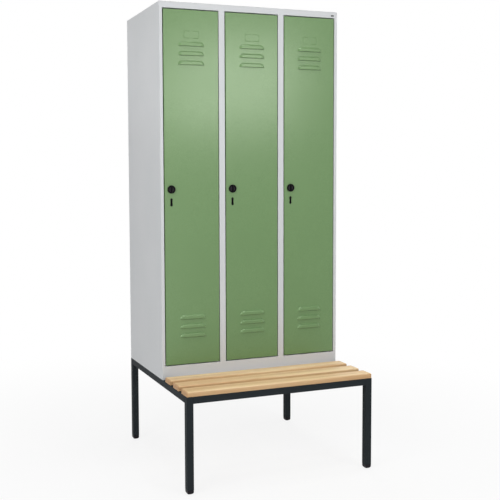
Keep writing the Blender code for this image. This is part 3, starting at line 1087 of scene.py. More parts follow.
@dataclass
class Casing(SubAssembly):
    """The grey sheet steel cabinet: its frame with the sides, lid, back, floor and partitions."""

    sheet: float = 0.0010
    bend_radius: float = 0.0015
    corner_radius: float = 0.0026
    bend_steps: int = 5
    opening_corner: float = 0.0012
    pin_hole_radius: float = 0.0029
    pin_hole_steps: int = 24
    rear_flange: float = 0.016
    back_recess: float = 0.0022
    weld_radius: float = 0.0042
    weld_floor: float = 0.72
    weld_depth: float = 0.0006
    weld_steps: int = 20
    weld_pitch: float = 0.118
    weld_inset: float = 0.020

    def build(self) -> None:
        """Builds and shows the casing."""
        self._shell()
        self._lid()
        self._back()
        self._inner_sheets()

    @staticmethod
    def _openings() -> list[tuple[float, float, float, float]]:
        """Reads the door openings between the stiles and the rails.

        Returns:
            The left, right, lower and upper edge of each opening.
        """
        names = ("left", "middle_1", "middle_2", "right")
        stiles = [box(f"front_stile_{name}") for name in names]
        bottom = box("front_bottom_rail")[1].z
        top = box("front_top_rail")[0].z
        return [(left[1].x, right[0].x, bottom, top) for left, right in zip(stiles, stiles[1:])]

    def _shell(self) -> None:
        """Shows the front frame with its folded openings, bent round into the two sides."""
        low, high = box(*SIDE_PANELS)
        fold = (low.y, box("front_top_rail")[1].y)
        surface = Surface()
        holes = []
        for compartment, opening in zip(COMPARTMENTS, self._openings()):
            pin = centre(*box(f"hinge_pin_upper_{compartment}"))
            holes.append(self._opening(surface, opening, fold, (pin.x, pin.y)))
        radius = self.corner_radius
        outline = rectangle(low.x + radius, high.x - radius, low.z, high.z)
        surface.plate(outline, holes, lambda x, z: (x, low.y, z))
        for side, edge in ((-1, low.x), (1, high.x)):
            bend = quarter_bend(radius, self.bend_steps)
            path = [(edge - side * inset, low.y + back) for inset, back in bend]
            path += [(edge - side * inset, high.y - back) for inset, back in reversed(bend)]
            surface.strip([[(x, y, low.z), (x, y, high.z)] for x, y in path], closed=False)
            left, right = sorted((edge - side * self.rear_flange, edge - side * radius))
            welds = self._spot_welds(surface, ((left + right) / 2,), high.y, (low.z, high.z))
            flange = rectangle(left, right, low.z, high.z)
            surface.plate(flange, welds, lambda x, z: (x, high.y, z))
        mesh = Making(wall=self.sheet).of(surface.mesh("casing_shell", (0, -1, 0)))
        stiles = (f"front_stile_{name}" for name in ("left", "right", "middle_1", "middle_2"))
        nodes = (*SIDE_PANELS, *stiles, "front_top_rail", "front_bottom_rail")
        self.workshop.show("casing_shell", mesh, Finish.GREY_COAT, *nodes)

    def _opening(
        self,
        surface: Surface,
        opening: tuple[float, float, float, float],
        fold: tuple[float, float],
        pin: Point,
    ) -> list[Point]:
        """Folds the sheet back round an opening, with a hole for each hinge pin.

        Args:
            surface: The surface that it is added to.
            opening: The opening's left, right, lower and upper edge.
            fold: The y of the frame's face, and the y at which the folds end.
            pin: The x and y of the hinge's axis.

        Returns:
            The loop in the frame's face that stays open.
        """
        left, right, bottom, top = opening
        front, rear = fold
        flat = self.opening_corner
        rows: list[list[Place]] = []
        for grow, back in quarter_bend(self.bend_radius, self.bend_steps):
            size = (right - left + 2 * grow, top - bottom + 2 * grow)
            loop = rounded_rectangle(*size, flat + grow, self.bend_steps)
            loop = moved(loop, (left + right) / 2, (bottom + top) / 2)
            rows.append([(x, front + back, z) for x, z in loop])
        surface.strip(rows)
        inner = rows[-1]
        for first, second in zip(inner, [*inner[1:], inner[0]]):
            if abs(first[0] - second[0]) < (right - left) / 2:
                ends = [(first[0], rear, first[2]), (second[0], rear, second[2])]
                surface.strip([[first, second], ends], closed=False)
                continue
            outline = rectangle(left + flat, right - flat, front + self.bend_radius, rear)
            hole = moved(circle(self.pin_hole_radius, self.pin_hole_steps), *pin)
            surface.plate(outline, [hole], lambda x, y, z=first[2]: (x, y, z))
        return [(x, z) for x, _, z in rows[0]]

    def _lid(self) -> None:
        """Shows the top sheet, whose corners follow the bends under it."""
        low, high = box("top_panel")
        size = (high.x - low.x, high.y - low.y)
        loop = rounded_rectangle(*size, self.corner_radius, self.bend_steps)
        loop = moved(loop, (low.x + high.x) / 2, (low.y + high.y) / 2)
        surface = Surface().solid([[(x, y, z) for x, y in loop] for z in (low.z, high.z)])
        mesh = BROKEN_EDGES.of(surface.mesh("lid"))
        self.workshop.show("lid", mesh, Finish.GREY_COAT, "top_panel")

    def _spot_welds(
        self, surface: Surface, columns: Sequence[float], face: float, ends: Point
    ) -> list[list[Point]]:
        """Adds the shallow dishes of upright rows of spot welds to a sheet's rear face.

        Args:
            surface: The sheet's surface.
            columns: The x of each row.
            face: The y of the sheet's face.
            ends: The sheet's lowest and highest z.

        Returns:
            The loops in the sheet that stay open round the dishes.
        """
        first, last = ends[0] + self.weld_inset, ends[1] - self.weld_inset
        count = round((last - first) / self.weld_pitch)
        loops = []
        for x in columns:
            for index in range(count + 1):
                spot = (x, first + (last - first) * index / count)
                outer = moved(circle(self.weld_radius, self.weld_steps), *spot)
                inner = moved(circle(self.weld_radius * self.weld_floor, self.weld_steps), *spot)
                dish = [(px, face - self.weld_depth, pz) for px, pz in inner]
                surface.strip([[(px, face, pz) for px, pz in outer], dish]).cap(dish)
                loops.append(outer)
        return loops

    def _back(self) -> None:
        """Shows the back sheet inside the shell's flanges, spot welded to the partitions."""
        low, high = box("back_panel")
        face = high.y - self.back_recess
        columns = [centre(*box(f"partition_{index}")).x for index in (1, 2)]
        surface = Surface()
        holes = self._spot_welds(surface, columns, face, (low.z, high.z))
        surface.plate(rectangle(low.x, high.x, low.z, high.z), holes, lambda x, z: (x, face, z))
        mesh = Making(wall=high.y - low.y).of(surface.mesh("back_sheet", (0, 1, 0)))
        self.workshop.show("back_sheet", mesh, Finish.GREY_COAT, "back_panel")

    def _inner_sheets(self) -> None:
        """Shows the floor, the partitions and the tray under the floor."""
        for node in ("floor_panel", "partition_1", "partition_2"):
            mesh = BROKEN_EDGES.of(box_surface(*box(node)).mesh(node))
            self.workshop.show(f"{node}_sheet", mesh, Finish.GREY_COAT, node)
        tray = box_surface(*box("base_panel"), ((2, 1), (1, -1)))
        mesh = Making(bend=self.bend_radius, wall=self.sheet).of(tray.mesh("base_tray", (0, 0, -1)))
        self.workshop.show("base_tray", mesh, Finish.GREY_COAT, "base_panel")


@dataclass
class Fittings(SubAssembly):
    """What each compartment holds: the hat shelf, and the coat rail with its sliding hook."""

    compartment: str
    sheet: float = 0.0008
    bend_radius: float = 0.0015
    rail_radius: float = 0.006
    rail_steps: int = 48
    flange_thickness: float = 0.002
    flange_edge: float = 0.0006
    wire_radius: float = 0.002
    wire_resolution: int = 4
    eye_clearance: float = 0.0005
    eye_mouth: float = math.radians(70)
    shank: float = 0.040
    hook_radius: float = 0.010
    tip: float = 0.014
    steps: int = 24

    def build(self) -> None:
        """Builds and shows the fittings of the compartment."""
        kinds = ("hat_shelf", "coat_rail", "coat_hook")
        shelf, rail, hook = (f"{kind}_{self.compartment}" for kind in kinds)
        tray = box_surface(*box(shelf), ((2, -1),)).mesh(shelf, (0, 0, 1))
        mesh = Making(bend=self.bend_radius, wall=self.sheet).of(tray)
        self.workshop.show(f"{shelf}_tray", mesh, Finish.GREY_COAT, shelf)
        low, high = box(rail)
        mesh = self._rail(low, high)
        self.workshop.show(f"{rail}_tube", mesh, Finish.ZINC, rail)
        wire = copied(self._hook(), centre(low, high))
        body = f"hook_{self.compartment}"
        self.workshop.show(f"{hook}_wire", wire, Finish.ZINC, hook, body=body)

    def _rail(self, low: Vector, high: Vector) -> Mesh:
        """Turns the coat rail, with a flange at each end.

        Args:
            low: The lowest corner of its CAD node.
            high: The highest corner.

        Returns:
            The mesh in place.
        """
        half = (high.x - low.x) / 2
        flange = (high.z - low.z) / 2
        neck = half - self.flange_thickness
        edge = self.flange_edge
        profile = [
            (flange, -half),
            (flange, -neck - edge),
            (flange - edge, -neck),
            (self.rail_radius + edge, -neck),
            (self.rail_radius, -neck + edge),
        ]
        profile += [(radius, -height) for radius, height in reversed(profile)]
        place = Matrix.Translation(centre(low, high)) @ Matrix.Rotation(math.pi / 2, 4, "Y")
        return shaded(turned("coat_rail", profile, place, self.rail_steps))

    def _hook(self) -> Mesh:
        """Bends the wire hook round the rail's axis: its open eye, its shank and its bend.

        Returns:
            The mesh, with the rail's axis along X through the origin.
        """
        eye = self.rail_radius + self.eye_clearance + self.wire_radius
        points = []
        for step in range(self.steps + 1):
            angle = math.pi - (2 * math.pi - self.eye_mouth) * (1 - step / self.steps)
            points.append((-eye * math.cos(angle), eye * math.sin(angle)))
        radius = self.hook_radius
        bend = points[-1][0] - radius
        for step in range(self.steps + 1):
            angle = math.pi * step / self.steps
            points.append((bend + radius * math.cos(angle), -self.shank - radius * math.sin(angle)))
        points.append((bend - radius, -self.shank + self.tip))
        curve = bpy.data.curves.new("hook_wire", "CURVE")
        curve.dimensions, curve.use_fill_caps = "3D", True
        curve.bevel_depth, curve.bevel_resolution = self.wire_radius, self.wire_resolution
        spline = curve.splines.new("POLY")
        spline.points.add(len(points) - 1)
        for point, (y, z) in zip(spline.points, points):
            point.co = (0, y, z, 1)
        return shaded(welded(evaluated_mesh(placed("hook_wire", curve))))


@dataclass(frozen=True)
class Louvre:
    """One pressed louvre: a hood with round shoulders and a curled lip, open along its foot."""

    width: float = 0.126
    height: float = 0.0195
    depth: float = 0.0064
    shoulder: Point = (0.024, 0.0185)
    end_slope: float = 0.012
    top_slope: float = 0.0056
    lean: float = 0.06
    curl: float = 0.0028
    curl_steps: int = 5
    margin: float = 0.0012
    fine_inset: float = 0.002
    fine_step: float = 0.0009
    coarse_step: float = 0.008
    least: float = 1e-6

    def columns(self) -> list[float]:
        """Spaces the grid's columns, close together at the two ends.

        Returns:
            Their x, from the louvre's middle.
        """
        half = self.width / 2
        edge = half + self.margin
        fine = half - self.shoulder[0] - self.fine_inset
        right = spread(fine, edge - fine, math.ceil((edge - fine) / self.fine_step))
        middle = spread(-fine, 2 * fine, 2 * math.ceil(fine / self.coarse_step))[1:-1]
        return sorted({round(x, 6) for x in [*(-x for x in right), *middle, *right, half, -half]})

    def rows(self) -> list[float]:
        """Spaces the grid's rows, close together where the lip curls in.

        Returns:
            Their height above the slit.
        """
        turns = [math.pi / 2 * step / self.curl_steps for step in range(self.curl_steps)]
        curled = [self.curl * (1 - math.cos(turn)) for turn in turns]
        rise = self.height + self.margin - self.curl
        return curled + spread(self.curl, rise, math.ceil(rise / self.fine_step))

    def bulge(self, x: float, z: float) -> float:
        """Says how far the hood stands out at a place.

        Args:
            x: The distance from the louvre's middle.
            z: The height above its slit.

        Returns:
            The distance in metres.
        """
        run, rise = self.shoulder
        across = max((abs(x) - self.width / 2) / run + 1, self.least)
        up = max((z - self.height) / rise + 1, self.least)
        slope = (across * run / self.end_slope + up * rise / self.top_slope) / (across + up)
        share = clamped((1 - math.hypot(across, up)) * slope)
        below = clamped(1 - z / self.curl)
        drop = self.curl / self.depth * (1 - math.sqrt(1 - below * below))
        lean = self.lean * max(z, 0.0) / self.height
        return self.depth * math.sin(share * math.pi / 2) * (1 - lean) * (1 - drop)

    def add(self, surface: Surface, middle: float, slit: float) -> list[Point]:
        """Adds the hood to a door's sheet.

        Args:
            surface: The sheet.
            middle: The x of the louvre's middle.
            slit: The z of its open edge.

        Returns:
            The loop in the sheet that stays open round it, which runs along the slit's foot.
        """
        columns, rows = self.columns(), self.rows()
        surface.grid(columns, rows, lambda x, z: (middle + x, -self.bulge(x, z), slit + z))
        beside = [x for x in columns if abs(x) >= self.width / 2 - self.least]
        return moved(border(columns, rows, beside), middle, slit)


@dataclass(frozen=True)
class CardHolder:
    """The four pressed grooves of a holder for a name card, one round each of its corners."""

    width: float = 0.070
    height: float = 0.031
    long_arm: float = 0.026
    short_arm: float = 0.012
    arm_width: float = 0.0016
    edge: float = 0.0010
    depth: float = 0.0010
    margin: float = 0.003
    step: float = 0.00075

    def press(self, x: float, z: float) -> float:
        """Says how deep the grooves are pressed in at a place.

        Args:
            x: The distance from the holder's middle.
            z: The height above its middle.

        Returns:
            The depth in metres.
        """
        across, up = self.width / 2 - abs(x), self.height / 2 - abs(z)
        flat_arm = max(abs(up), across - self.long_arm, -across)
        upright_arm = max(abs(across), up - self.short_arm, -up)
        reach = self.arm_width / 2 + self.edge / 2
        share = clamped((reach - min(flat_arm, upright_arm)) / self.edge)
        return self.depth * share * share * (3 - 2 * share)

    def add(self, surface: Surface, middle: float, height: float) -> list[Point]:
        """Adds the grooves to a door's sheet.

        Args:
            surface: The sheet.
            middle: The x of the holder's middle.
            height: The z of its middle.

        Returns:
            The loop in the sheet that stays open round it.
        """
        lines = []
        for size in (self.width, self.height):
            reach = size / 2 + self.margin
            count = math.ceil(2 * reach / self.step)
            lines.append([reach * (2 * i / count - 1) for i in range(count + 1)])
        columns, rows = lines
        surface.grid(columns, rows, lambda x, z: (middle + x, self.press(x, z), height + z))
        return moved(border(columns, rows, columns), middle, height)


@dataclass
class LockerDoor(SubAssembly):
    """A green folded door with its louvres, card holder, slot, stiffener and hinge pins.

    The pan is made with x from the lock edge, y from the face and z from the lower edge.
    """

    sheet: float = 0.0008
    fold: float = 0.020
    bend_radius: float = 0.0018
    corner_radius: float = 0.0020
    bend_steps: int = 6
    trim: float = 0.0003
    louvre: Louvre = field(default_factory=Louvre)
    holder: CardHolder = field(default_factory=CardHolder)
    louvres_in_set: int = 3
    louvre_pitch: float = 0.0419
    upper_louvre_drop: float = 0.1605
    lower_louvre_rise: float = 0.1239
    holder_drop: float = 0.1095
    holder_shift: float = 0.0010
    knob_inset: float = 0.032
    spindle_hole: float = 0.0048
    hole_steps: int = 32
    slot_drop: float = 0.0585
    slot_hole: Point = (0.0086, 0.0321)
    slot_flat: float = 0.0001
    slot_steps: int = 8
    pin_radius: float = 0.0025
    pin_head_radius: float = 0.0042
    pin_head_height: float = 0.003
    pin_steps: int = 32

    def build(self) -> None:
        """Builds the pan once, and shows it in each compartment with its fittings."""
        low, high = box(f"door_panel_{COMPARTMENTS[0]}")
        pan = Making(wall=self.sheet).of(self._pan(high.x - low.x, high.z - low.z))
        for compartment in COMPARTMENTS:
            body, node = f"door_{compartment}", f"door_panel_{compartment}"
            low, high = box(node)
            mesh = copied(pan, (low.x, high.y - self.fold, low.z))
            self.workshop.show(f"{body}_pan", mesh, Finish.GREEN_COAT, node, body=body)
            self._stiffener(compartment)
            for end in ("upper", "lower"):
                self._pin(f"hinge_pin_{end}_{compartment}", body)
        bpy.data.meshes.remove(pan)

    def _pan(self, width: float, height: float) -> Mesh:
        """Folds and presses the door's sheet.

        Args:
            width: The opening that it fills, across.
            height: The same, upright.

        Returns:
            The open pan, in its own frame.
        """
        surface = Surface()
        middle, halfway = width / 2, height / 2
        steps = [index * self.louvre_pitch for index in range(self.louvres_in_set)]
        slits = [self.lower_louvre_rise + step for step in steps]
        slits += [height - self.upper_louvre_drop - step for step in steps]
        holes = [self.louvre.add(surface, middle, slit) for slit in slits]
        holder = (middle + self.holder_shift, height - self.holder_drop)
        holes.append(self.holder.add(surface, *holder))
        spindle = circle(self.spindle_hole, self.hole_steps)
        holes.append(moved(spindle, self.knob_inset, halfway))
        radius = self.slot_hole[0] / 2 - self.slot_flat
        slot = rounded_rectangle(*self.slot_hole, radius, self.slot_steps)
        holes.append(moved(slot, self.knob_inset, halfway - self.slot_drop))
        rows = []
        for inset, back in quarter_bend(self.bend_radius, self.bend_steps):
            size = (width - 2 * (inset + self.trim), height - 2 * (inset + self.trim))
            loop = rounded_rectangle(*size, self.corner_radius - inset, self.bend_steps)
            rows.append([(x, back, z) for x, z in moved(loop, middle, halfway)])
        rows.append([(x, self.fold, z) for x, _, z in rows[-1]])
        surface.strip(rows)
        surface.plate([(x, z) for x, _, z in rows[0]], holes, lambda x, z: (x, 0.0, z))
        return surface.mesh("door_pan", (0, -1, 0))

    def _stiffener(self, compartment: str) -> None:
        """Shows the channel behind the door's sheet.

        Args:
            compartment: The door's compartment.
        """
        node = f"door_stiffener_{compartment}"
        channel = box_surface(*box(node), ((1, -1), (2, -1), (2, 1))).mesh(node, (0, 1, 0))
        mesh = Making(bend=self.bend_radius, wall=self.sheet).of(channel)
        body = f"door_{compartment}"
        self.workshop.show(f"{node}_channel", mesh, Finish.GREEN_COAT, node, body=body)

    def _pin(self, node: str, body: str) -> None:
        """Shows a hinge pin with a round head and a chamfered tip.

        Args:
            node: The pin's CAD node.
            body: The door that it turns with.
        """
        low, high = box(node)
        length = high.z - low.z
        radius, head = self.pin_radius, (self.pin_head_radius, self.pin_head_height)
        chamfer = radius / 2
        profile = [
            (head[0] - chamfer / 2, 0.0),
            (head[0], chamfer / 2),
            head,
            (radius, head[1]),
            (radius, length - chamfer),
            (radius - chamfer, length),
        ]
        upwards = "_upper_" in node
        middle = centre(low, high)
        place = Matrix.Translation((middle.x, middle.y, low.z if upwards else high.z))
        turn = Matrix.Identity(4) if upwards else Matrix.Rotation(math.pi, 4, "X")
        mesh = shaded(turned(node, profile, place @ turn, self.pin_steps))
        self.workshop.show(f"{node}_turned", mesh, Finish.ZINC, node, body=body)


@dataclass
class RotaryLatch(SubAssembly):
    """The black knob with its upright grip, the steel cam behind it and the slot under it.

    The lip's profile holds the inset and the depth behind the front of each of its points.
    """

    compartment: str
    knob_radius: float = 0.0185
    knob_height: float = 0.0065
    knob_steps: int = 72
    rim_round: float = 0.0016
    rim_steps: int = 4
    rim_chamfer: Point = (0.0004, 0.0003)
    dish_radius: float = 0.0128
    dish_depth: float = 0.0032
    dish_slope: float = 0.0010
    dish_chamfer: Point = (0.0005, 0.0004)
    dish_hub: float = 0.0005
    grip_width: float = 0.0056
    grip_height: float = 0.0130
    grip_round: float = 0.0020
    grip_steps: int = 5
    grip_inset: float = 0.6
    spindle_radius: float = 0.0045
    seam: float = 0.0003
    cam_edge: float = 0.0003
    flat_below: float = math.radians(1)
    slot_lip: float = 0.0016
    lip_profile: tuple[Point, ...] = ((0.0, 0.0008), (0.0, 0.0004), (0.0003, 0.0001), (0.0007, 0.0))
    slot_growth: Point = (1.14, 1.09)
    slot_roundness: float = 0.98
    slot_steps: int = 8
    side_steps: int = 9
    least_side: float = 0.004
    slot_waist: float = 0.20
    waist_length: float = 0.24
    slot_wall: float = 0.0022
    slot_chamfer: float = 0.0004
    slot_floor: float = 0.0015

    def build(self) -> None:
        """Builds and shows the latch of the compartment."""
        kinds = ("latch_knob", "latch_cam", "slot_liner")
        knob, cam, slot = (f"{kind}_{self.compartment}" for kind in kinds)
        door, body = f"door_{self.compartment}", f"latch_{self.compartment}"
        face = box(f"door_panel_{self.compartment}")[1].y - LockerDoor.fold
        low, high = box(knob)
        middle = centre(low, high)
        mesh = copied(self._knob(high.y - face), (middle.x, face, middle.z))
        self.workshop.show(f"{knob}_grip", mesh, Finish.BLACK_PLASTIC, knob, body=body)
        plate = welded(self.workshop.nodes[cam].data, self.flat_below)
        mesh = Making(edge=self.cam_edge, segments=2).of(plate)
        self.workshop.show(f"{cam}_plate", mesh, Finish.ZINC, cam, body=body)
        mesh = self._slot(*box(slot))
        self.workshop.show(f"{slot}_insert", mesh, Finish.BLACK_PLASTIC, slot, body=door)

    def _knob(self, spindle: float) -> Mesh:
        """Makes the knob round its own axis, with painted highlight making the floor of its dish
        paler.

        Args:
            spindle: How far its spindle reaches behind the door's face.

        Returns:
            The mesh, with its front towards -Y.
        """
        radius, height, edge = self.knob_radius, self.knob_height, self.rim_round
        inner = self.dish_radius
        wall, dish = inner - self.dish_slope, height - self.dish_depth
        profile = [(self.spindle_radius, -spindle), (self.spindle_radius, self.seam)]
        profile.append((radius, self.seam))
        for step in range(self.rim_steps + 1):
            angle = step / self.rim_steps * math.pi / 2
            x, y = edge * math.cos(angle), edge * math.sin(angle)
            profile.append((radius - edge + x, height - edge + y))
        profile += [
            (inner + self.rim_chamfer[0], height),
            (inner, height - self.rim_chamfer[1]),
            (wall, dish + self.dish_chamfer[1]),
            (wall - self.dish_chamfer[0], dish),
            (self.dish_hub, dish),
        ]
        forwards = Matrix.Rotation(math.pi / 2, 4, "X")
        base = turned("latch_knob", profile, forwards, self.knob_steps)
        reach = radius - edge * self.grip_inset
        low = Vector((-self.grip_width / 2, -self.grip_height, -reach))
        high = Vector((self.grip_width / 2, -height / 2, reach))
        grip = Making(edge=self.grip_round, segments=self.grip_steps).of(
            box_surface(low, high).mesh("grip")
        )
        mesh = Making(union=grip).of(base)
        # Painted highlight: the vertices of the dish floor get the pale colour, as if that floor
        # caught the light.
        places = [vertex.co for vertex in mesh.vertices]
        on_floor = [
            abs(co.y + dish) < WELD_DISTANCE and math.hypot(co.x, co.z) < inner for co in places
        ]
        return with_painted_light(mesh, [float(value) for value in on_floor])

    def _slot(self, low: Vector, high: Vector) -> Mesh:
        """Makes the slot's insert, whose sides draw in a little at the middle.

        Args:
            low: The lowest corner of its CAD node.
            high: The highest corner.

        Returns:
            The mesh in place.
        """
        width = (high.x - low.x) * self.slot_growth[0]
        length = (high.z - low.z) * self.slot_growth[1]
        middle = centre(low, high)
        front, rear = low.y, high.y
        lip, wall = self.slot_lip, self.slot_lip + self.slot_wall
        steps = [(lip, rear), (lip, front + self.lip_profile[0][1])]
        steps += [(inset, front + depth) for inset, depth in self.lip_profile]
        steps += [(wall - self.slot_chamfer, front), (wall, front + self.slot_chamfer)]
        steps.append((wall, rear - self.slot_floor))
        rows = []
        for inset, y in steps:
            radius = (width / 2 - inset) * self.slot_roundness
            size = (width - 2 * inset, length - 2 * inset)
            row = []
            for x, z in self._denser(rounded_rectangle(*size, radius, self.slot_steps)):
                near = math.exp(-((z / (self.waist_length * length)) ** 2))
                row.append((middle.x + x * (1 - self.slot_waist * near), y, middle.z + z))
            rows.append(row)
        return shaded(Surface().solid(rows).mesh("slot_insert"))

    def _denser(self, loop: Sequence[Point]) -> list[Point]:
        """Adds points on the long sides of a loop.

        Args:
            loop: The loop.

        Returns:
            The loop with more points.
        """
        points = []
        for (ax, az), (bx, bz) in zip(loop, [*loop[1:], loop[0]]):
            count = self.side_steps if abs(az - bz) > self.least_side else 1
            points += [
                (ax + (bx - ax) * i / count, az + (bz - az) * i / count) for i in range(count)
            ]
        return points


class GeometryTree(NodeBuilder):
    """A geometry node group with named inputs, and the modifier that runs it on a mesh."""

    def __init__(self, name: str, inputs: Mapping[str, str]) -> None:
        """Makes the group.

        Args:
            name: The group's name.
            inputs: What each named input holds, as its socket type's name ends.
        """
        super().__init__(bpy.data.node_groups.new(name, "GeometryNodeTree"))
        self.identifiers: dict[str, str] = {}
        interface = self.tree.interface
        for way in ("INPUT", "OUTPUT"):
            interface.new_socket("Geometry", in_out=way, socket_type="NodeSocketGeometry")
        for label, kind in {**inputs, "Finish": "Material"}.items():
            made = interface.new_socket(label, in_out="INPUT", socket_type=f"NodeSocket{kind}")
            self.identifiers[label] = made.identifier
        self.start = self.node("NodeGroupInput")
        self.end = self.node("NodeGroupOutput")

    def given(self, label: str) -> Socket:
        """The socket of a named input."""
        return self.socket(self.start.outputs, label)

    def repeat(self, points: Socket, instance: Socket, scale: Any = (1, 1, 1)) -> GeometryTree:
        """Ends the tree: an instance stands on each point, and all are made real and coated.

        Args:
            points: The points.
            instance: What stands on each.
            scale: Its scale along each axis.

        Returns:
            This tree.
        """
        sockets = {"Points": points, "Instance": instance, "Scale": scale}
        placed_on = self.node("GeometryNodeInstanceOnPoints", None, sockets).outputs[0]
        real = self.node("GeometryNodeRealizeInstances", None, {"Geometry": placed_on}).outputs[0]
        sockets = {"Geometry": real, "Material": self.given("Finish")}
        coated = self.node("GeometryNodeSetMaterial", None, sockets).outputs[0]
        self.feed(self.end.inputs[0], coated)
        return self

    def run(self, seed: Mesh, finish: Material, values: Mapping[str, Any]) -> Mesh:
        """Runs the tree on a mesh.

        Args:
            seed: The points or edges that it starts from, which are used up.
            finish: The material.
            values: The named inputs.

        Returns:
            A plain mesh.
        """
        obj = placed(seed.name, seed)
        modifier = obj.modifiers.new("repeat", "NODES")
        modifier.node_group = self.tree
        for label, value in {**values, "Finish": finish}.items():
            modifier[self.identifiers[label]] = value
        return evaluated_mesh(obj)


def plain_mesh(
    name: str,
    points: Sequence[Sequence[float]],
    edges: Sequence[tuple[int, int]] = (),
    faces: Sequence[Sequence[int]] = (),
) -> Mesh:
    """Makes a mesh of given points, edges and faces.

    Args:
        name: The mesh's name.
        points: The places of its points.
        edges: The points that each loose edge joins.
        faces: The points that each face joins.

    Returns:
        The mesh.
    """
    mesh = bpy.data.meshes.new(name)
    mesh.from_pydata([tuple(point) for point in points], edges, faces)
    return mesh


@dataclass
class WeldBeads(SubAssembly):
    """The welds in the inner corners of the bench frame, as rows of overlapping ripples."""

    ripples: int = 10
    ripple_radius: float = 0.0019
    least_scale: float = 0.85
    most_scale: float = 1.1
    seed: int = 7

    def tree(self) -> GeometryTree:
        """Builds the node group, which sets ripples of uneven size along each edge.

        Returns:
            The node group.
        """
        made = GeometryTree("weld_ripples", {"Count": "Int", "Radius": "Float", "Seed": "Int"})
        path = made.node("GeometryNodeMeshToCurve", None, {"Mesh": made.start.outputs[0]})
        sockets = {"Curve": path.outputs[0], "Count": made.given("Count")}
        even = made.node("GeometryNodeResampleCurve", {"mode": "COUNT"}, sockets)
        sockets = {"Radius": made.given("Radius"), "Subdivisions": 2}
        ripple = made.node("GeometryNodeMeshIcoSphere", None, sockets)
        sockets = {"Min": (self.least_scale,) * 3, "Max": (self.most_scale,) * 3}
        sockets["Seed"] = made.given("Seed")
        uneven = made.node("FunctionNodeRandomValue", {"data_type": "FLOAT_VECTOR"}, sockets)
        return made.repeat(even.outputs[0], ripple.outputs[0], uneven.outputs[0])

    def build(self, joints: Sequence[Corners]) -> None:
        """Shows a bead along each joint.

        Args:
            joints: The two ends of each joint.
        """
        points = [end for joint in joints for end in joint]
        seed = plain_mesh("frame_welds", points, [(2 * i, 2 * i + 1) for i in range(len(joints))])
        values = {"Count": self.ripples, "Radius": self.ripple_radius, "Seed": self.seed}
        mesh = self.tree().run(seed, self.workshop.materials[Finish.ANTHRACITE_COAT], values)
        mesh.shade_smooth()
        self.workshop.show("frame_welds", mesh, Finish.ANTHRACITE_COAT)


@dataclass
class SlatScrews(SubAssembly):
    """The screws that hold the slats from under the side rails."""

    head_radius: float = 0.0046
    head_height: float = 0.0026
    head_steps: int = 20
    crown_share: float = 0.72
    inset: float = 0.018

    def tree(self) -> GeometryTree:
        """Builds the node group, which sets a tapered pan head on each point.

        Returns:
            The node group.
        """
        made = GeometryTree("screw_heads", {"Radius": "Float", "Crown": "Float", "Height": "Float"})
        sockets = {
            "Vertices": self.head_steps,
            "Side Segments": 2,
            "Radius Top": made.given("Radius"),
            "Radius Bottom": made.given("Crown"),
            "Depth": made.given("Height"),
        }
        head = made.node("GeometryNodeMeshCone", None, sockets)
        return made.repeat(made.start.outputs[0], head.outputs[0])

    def build(self) -> None:
        """Shows two heads under each end of each slat, where the rail is wide enough."""
        points = []
        for side in ("left", "right"):
            low, high = box(f"bench_side_rail_{side}")
            for slat_low, slat_high in slat_boxes():
                middle = (slat_low.y + slat_high.y) / 2
                points += [
                    ((low.x + high.x) / 2, y, low.z - self.head_height)
                    for y in (middle - self.inset, middle + self.inset)
                    if y > low.y + self.head_radius
                ]
        values = {
            "Radius": self.head_radius,
            "Crown": self.head_radius * self.crown_share,
            "Height": self.head_height,
        }
        seed = plain_mesh("slat_screws", points)
        mesh = self.tree().run(seed, self.workshop.materials[Finish.ZINC], values)
        self.workshop.show("slat_screws", shaded(mesh), Finish.ZINC)


@dataclass
class Seat(SubAssembly):
    """Three beech slats with well rounded edges, a row of one slat repeated."""

    edge_radius: float = 0.0060
    lower_share: float = 0.3
    edge_steps: int = 8

    @staticmethod
    def tree() -> GeometryTree:
        """Builds the node group, which sets the slat on each point of a row.

        Returns:
            The node group.
        """
        made = GeometryTree("slat_row", {"Slat": "Object", "Count": "Int", "Step": "Vector"})
        sockets = {"Count": made.given("Count"), "Offset": made.given("Step")}
        row = made.node("GeometryNodeMeshLine", {"mode": "OFFSET"}, sockets)
        slat = made.node("GeometryNodeObjectInfo", None, {"Object": made.given("Slat")})
        return made.repeat(row.outputs[0], made.socket(slat.outputs, "Geometry"))

    def build(self) -> None:
        """Builds and shows the slats."""
        boxes = slat_boxes()
        low, high = boxes[0]
        mesh = box_surface(low, high).mesh("slat")
        weights = mesh.attributes.new("bevel_weight_edge", "FLOAT", "EDGE")
        for edge, weight in zip(mesh.edges, weights.data):
            heights = [mesh.vertices[index].co.z for index in edge.vertices]
            lower = max(heights) < high.z - self.edge_radius
            weight.value = self.lower_share if lower else 1.0
        making = Making(edge=self.edge_radius, segments=self.edge_steps, weighted=True)
        slat = placed("slat", making.of(mesh))
        values = {"Slat": slat, "Count": len(boxes), "Step": (0.0, boxes[1][0].y - low.y, 0.0)}
        seed = plain_mesh("seat_slats", [(0, 0, 0)])
        made = self.tree().run(seed, self.workshop.materials[Finish.BEECH], values)
        bpy.data.objects.remove(slat, do_unlink=True)
        nodes = (f"seat_slat_{name}" for name in SLATS)
        self.workshop.show("seat_slats", shaded(made), Finish.BEECH, *nodes)


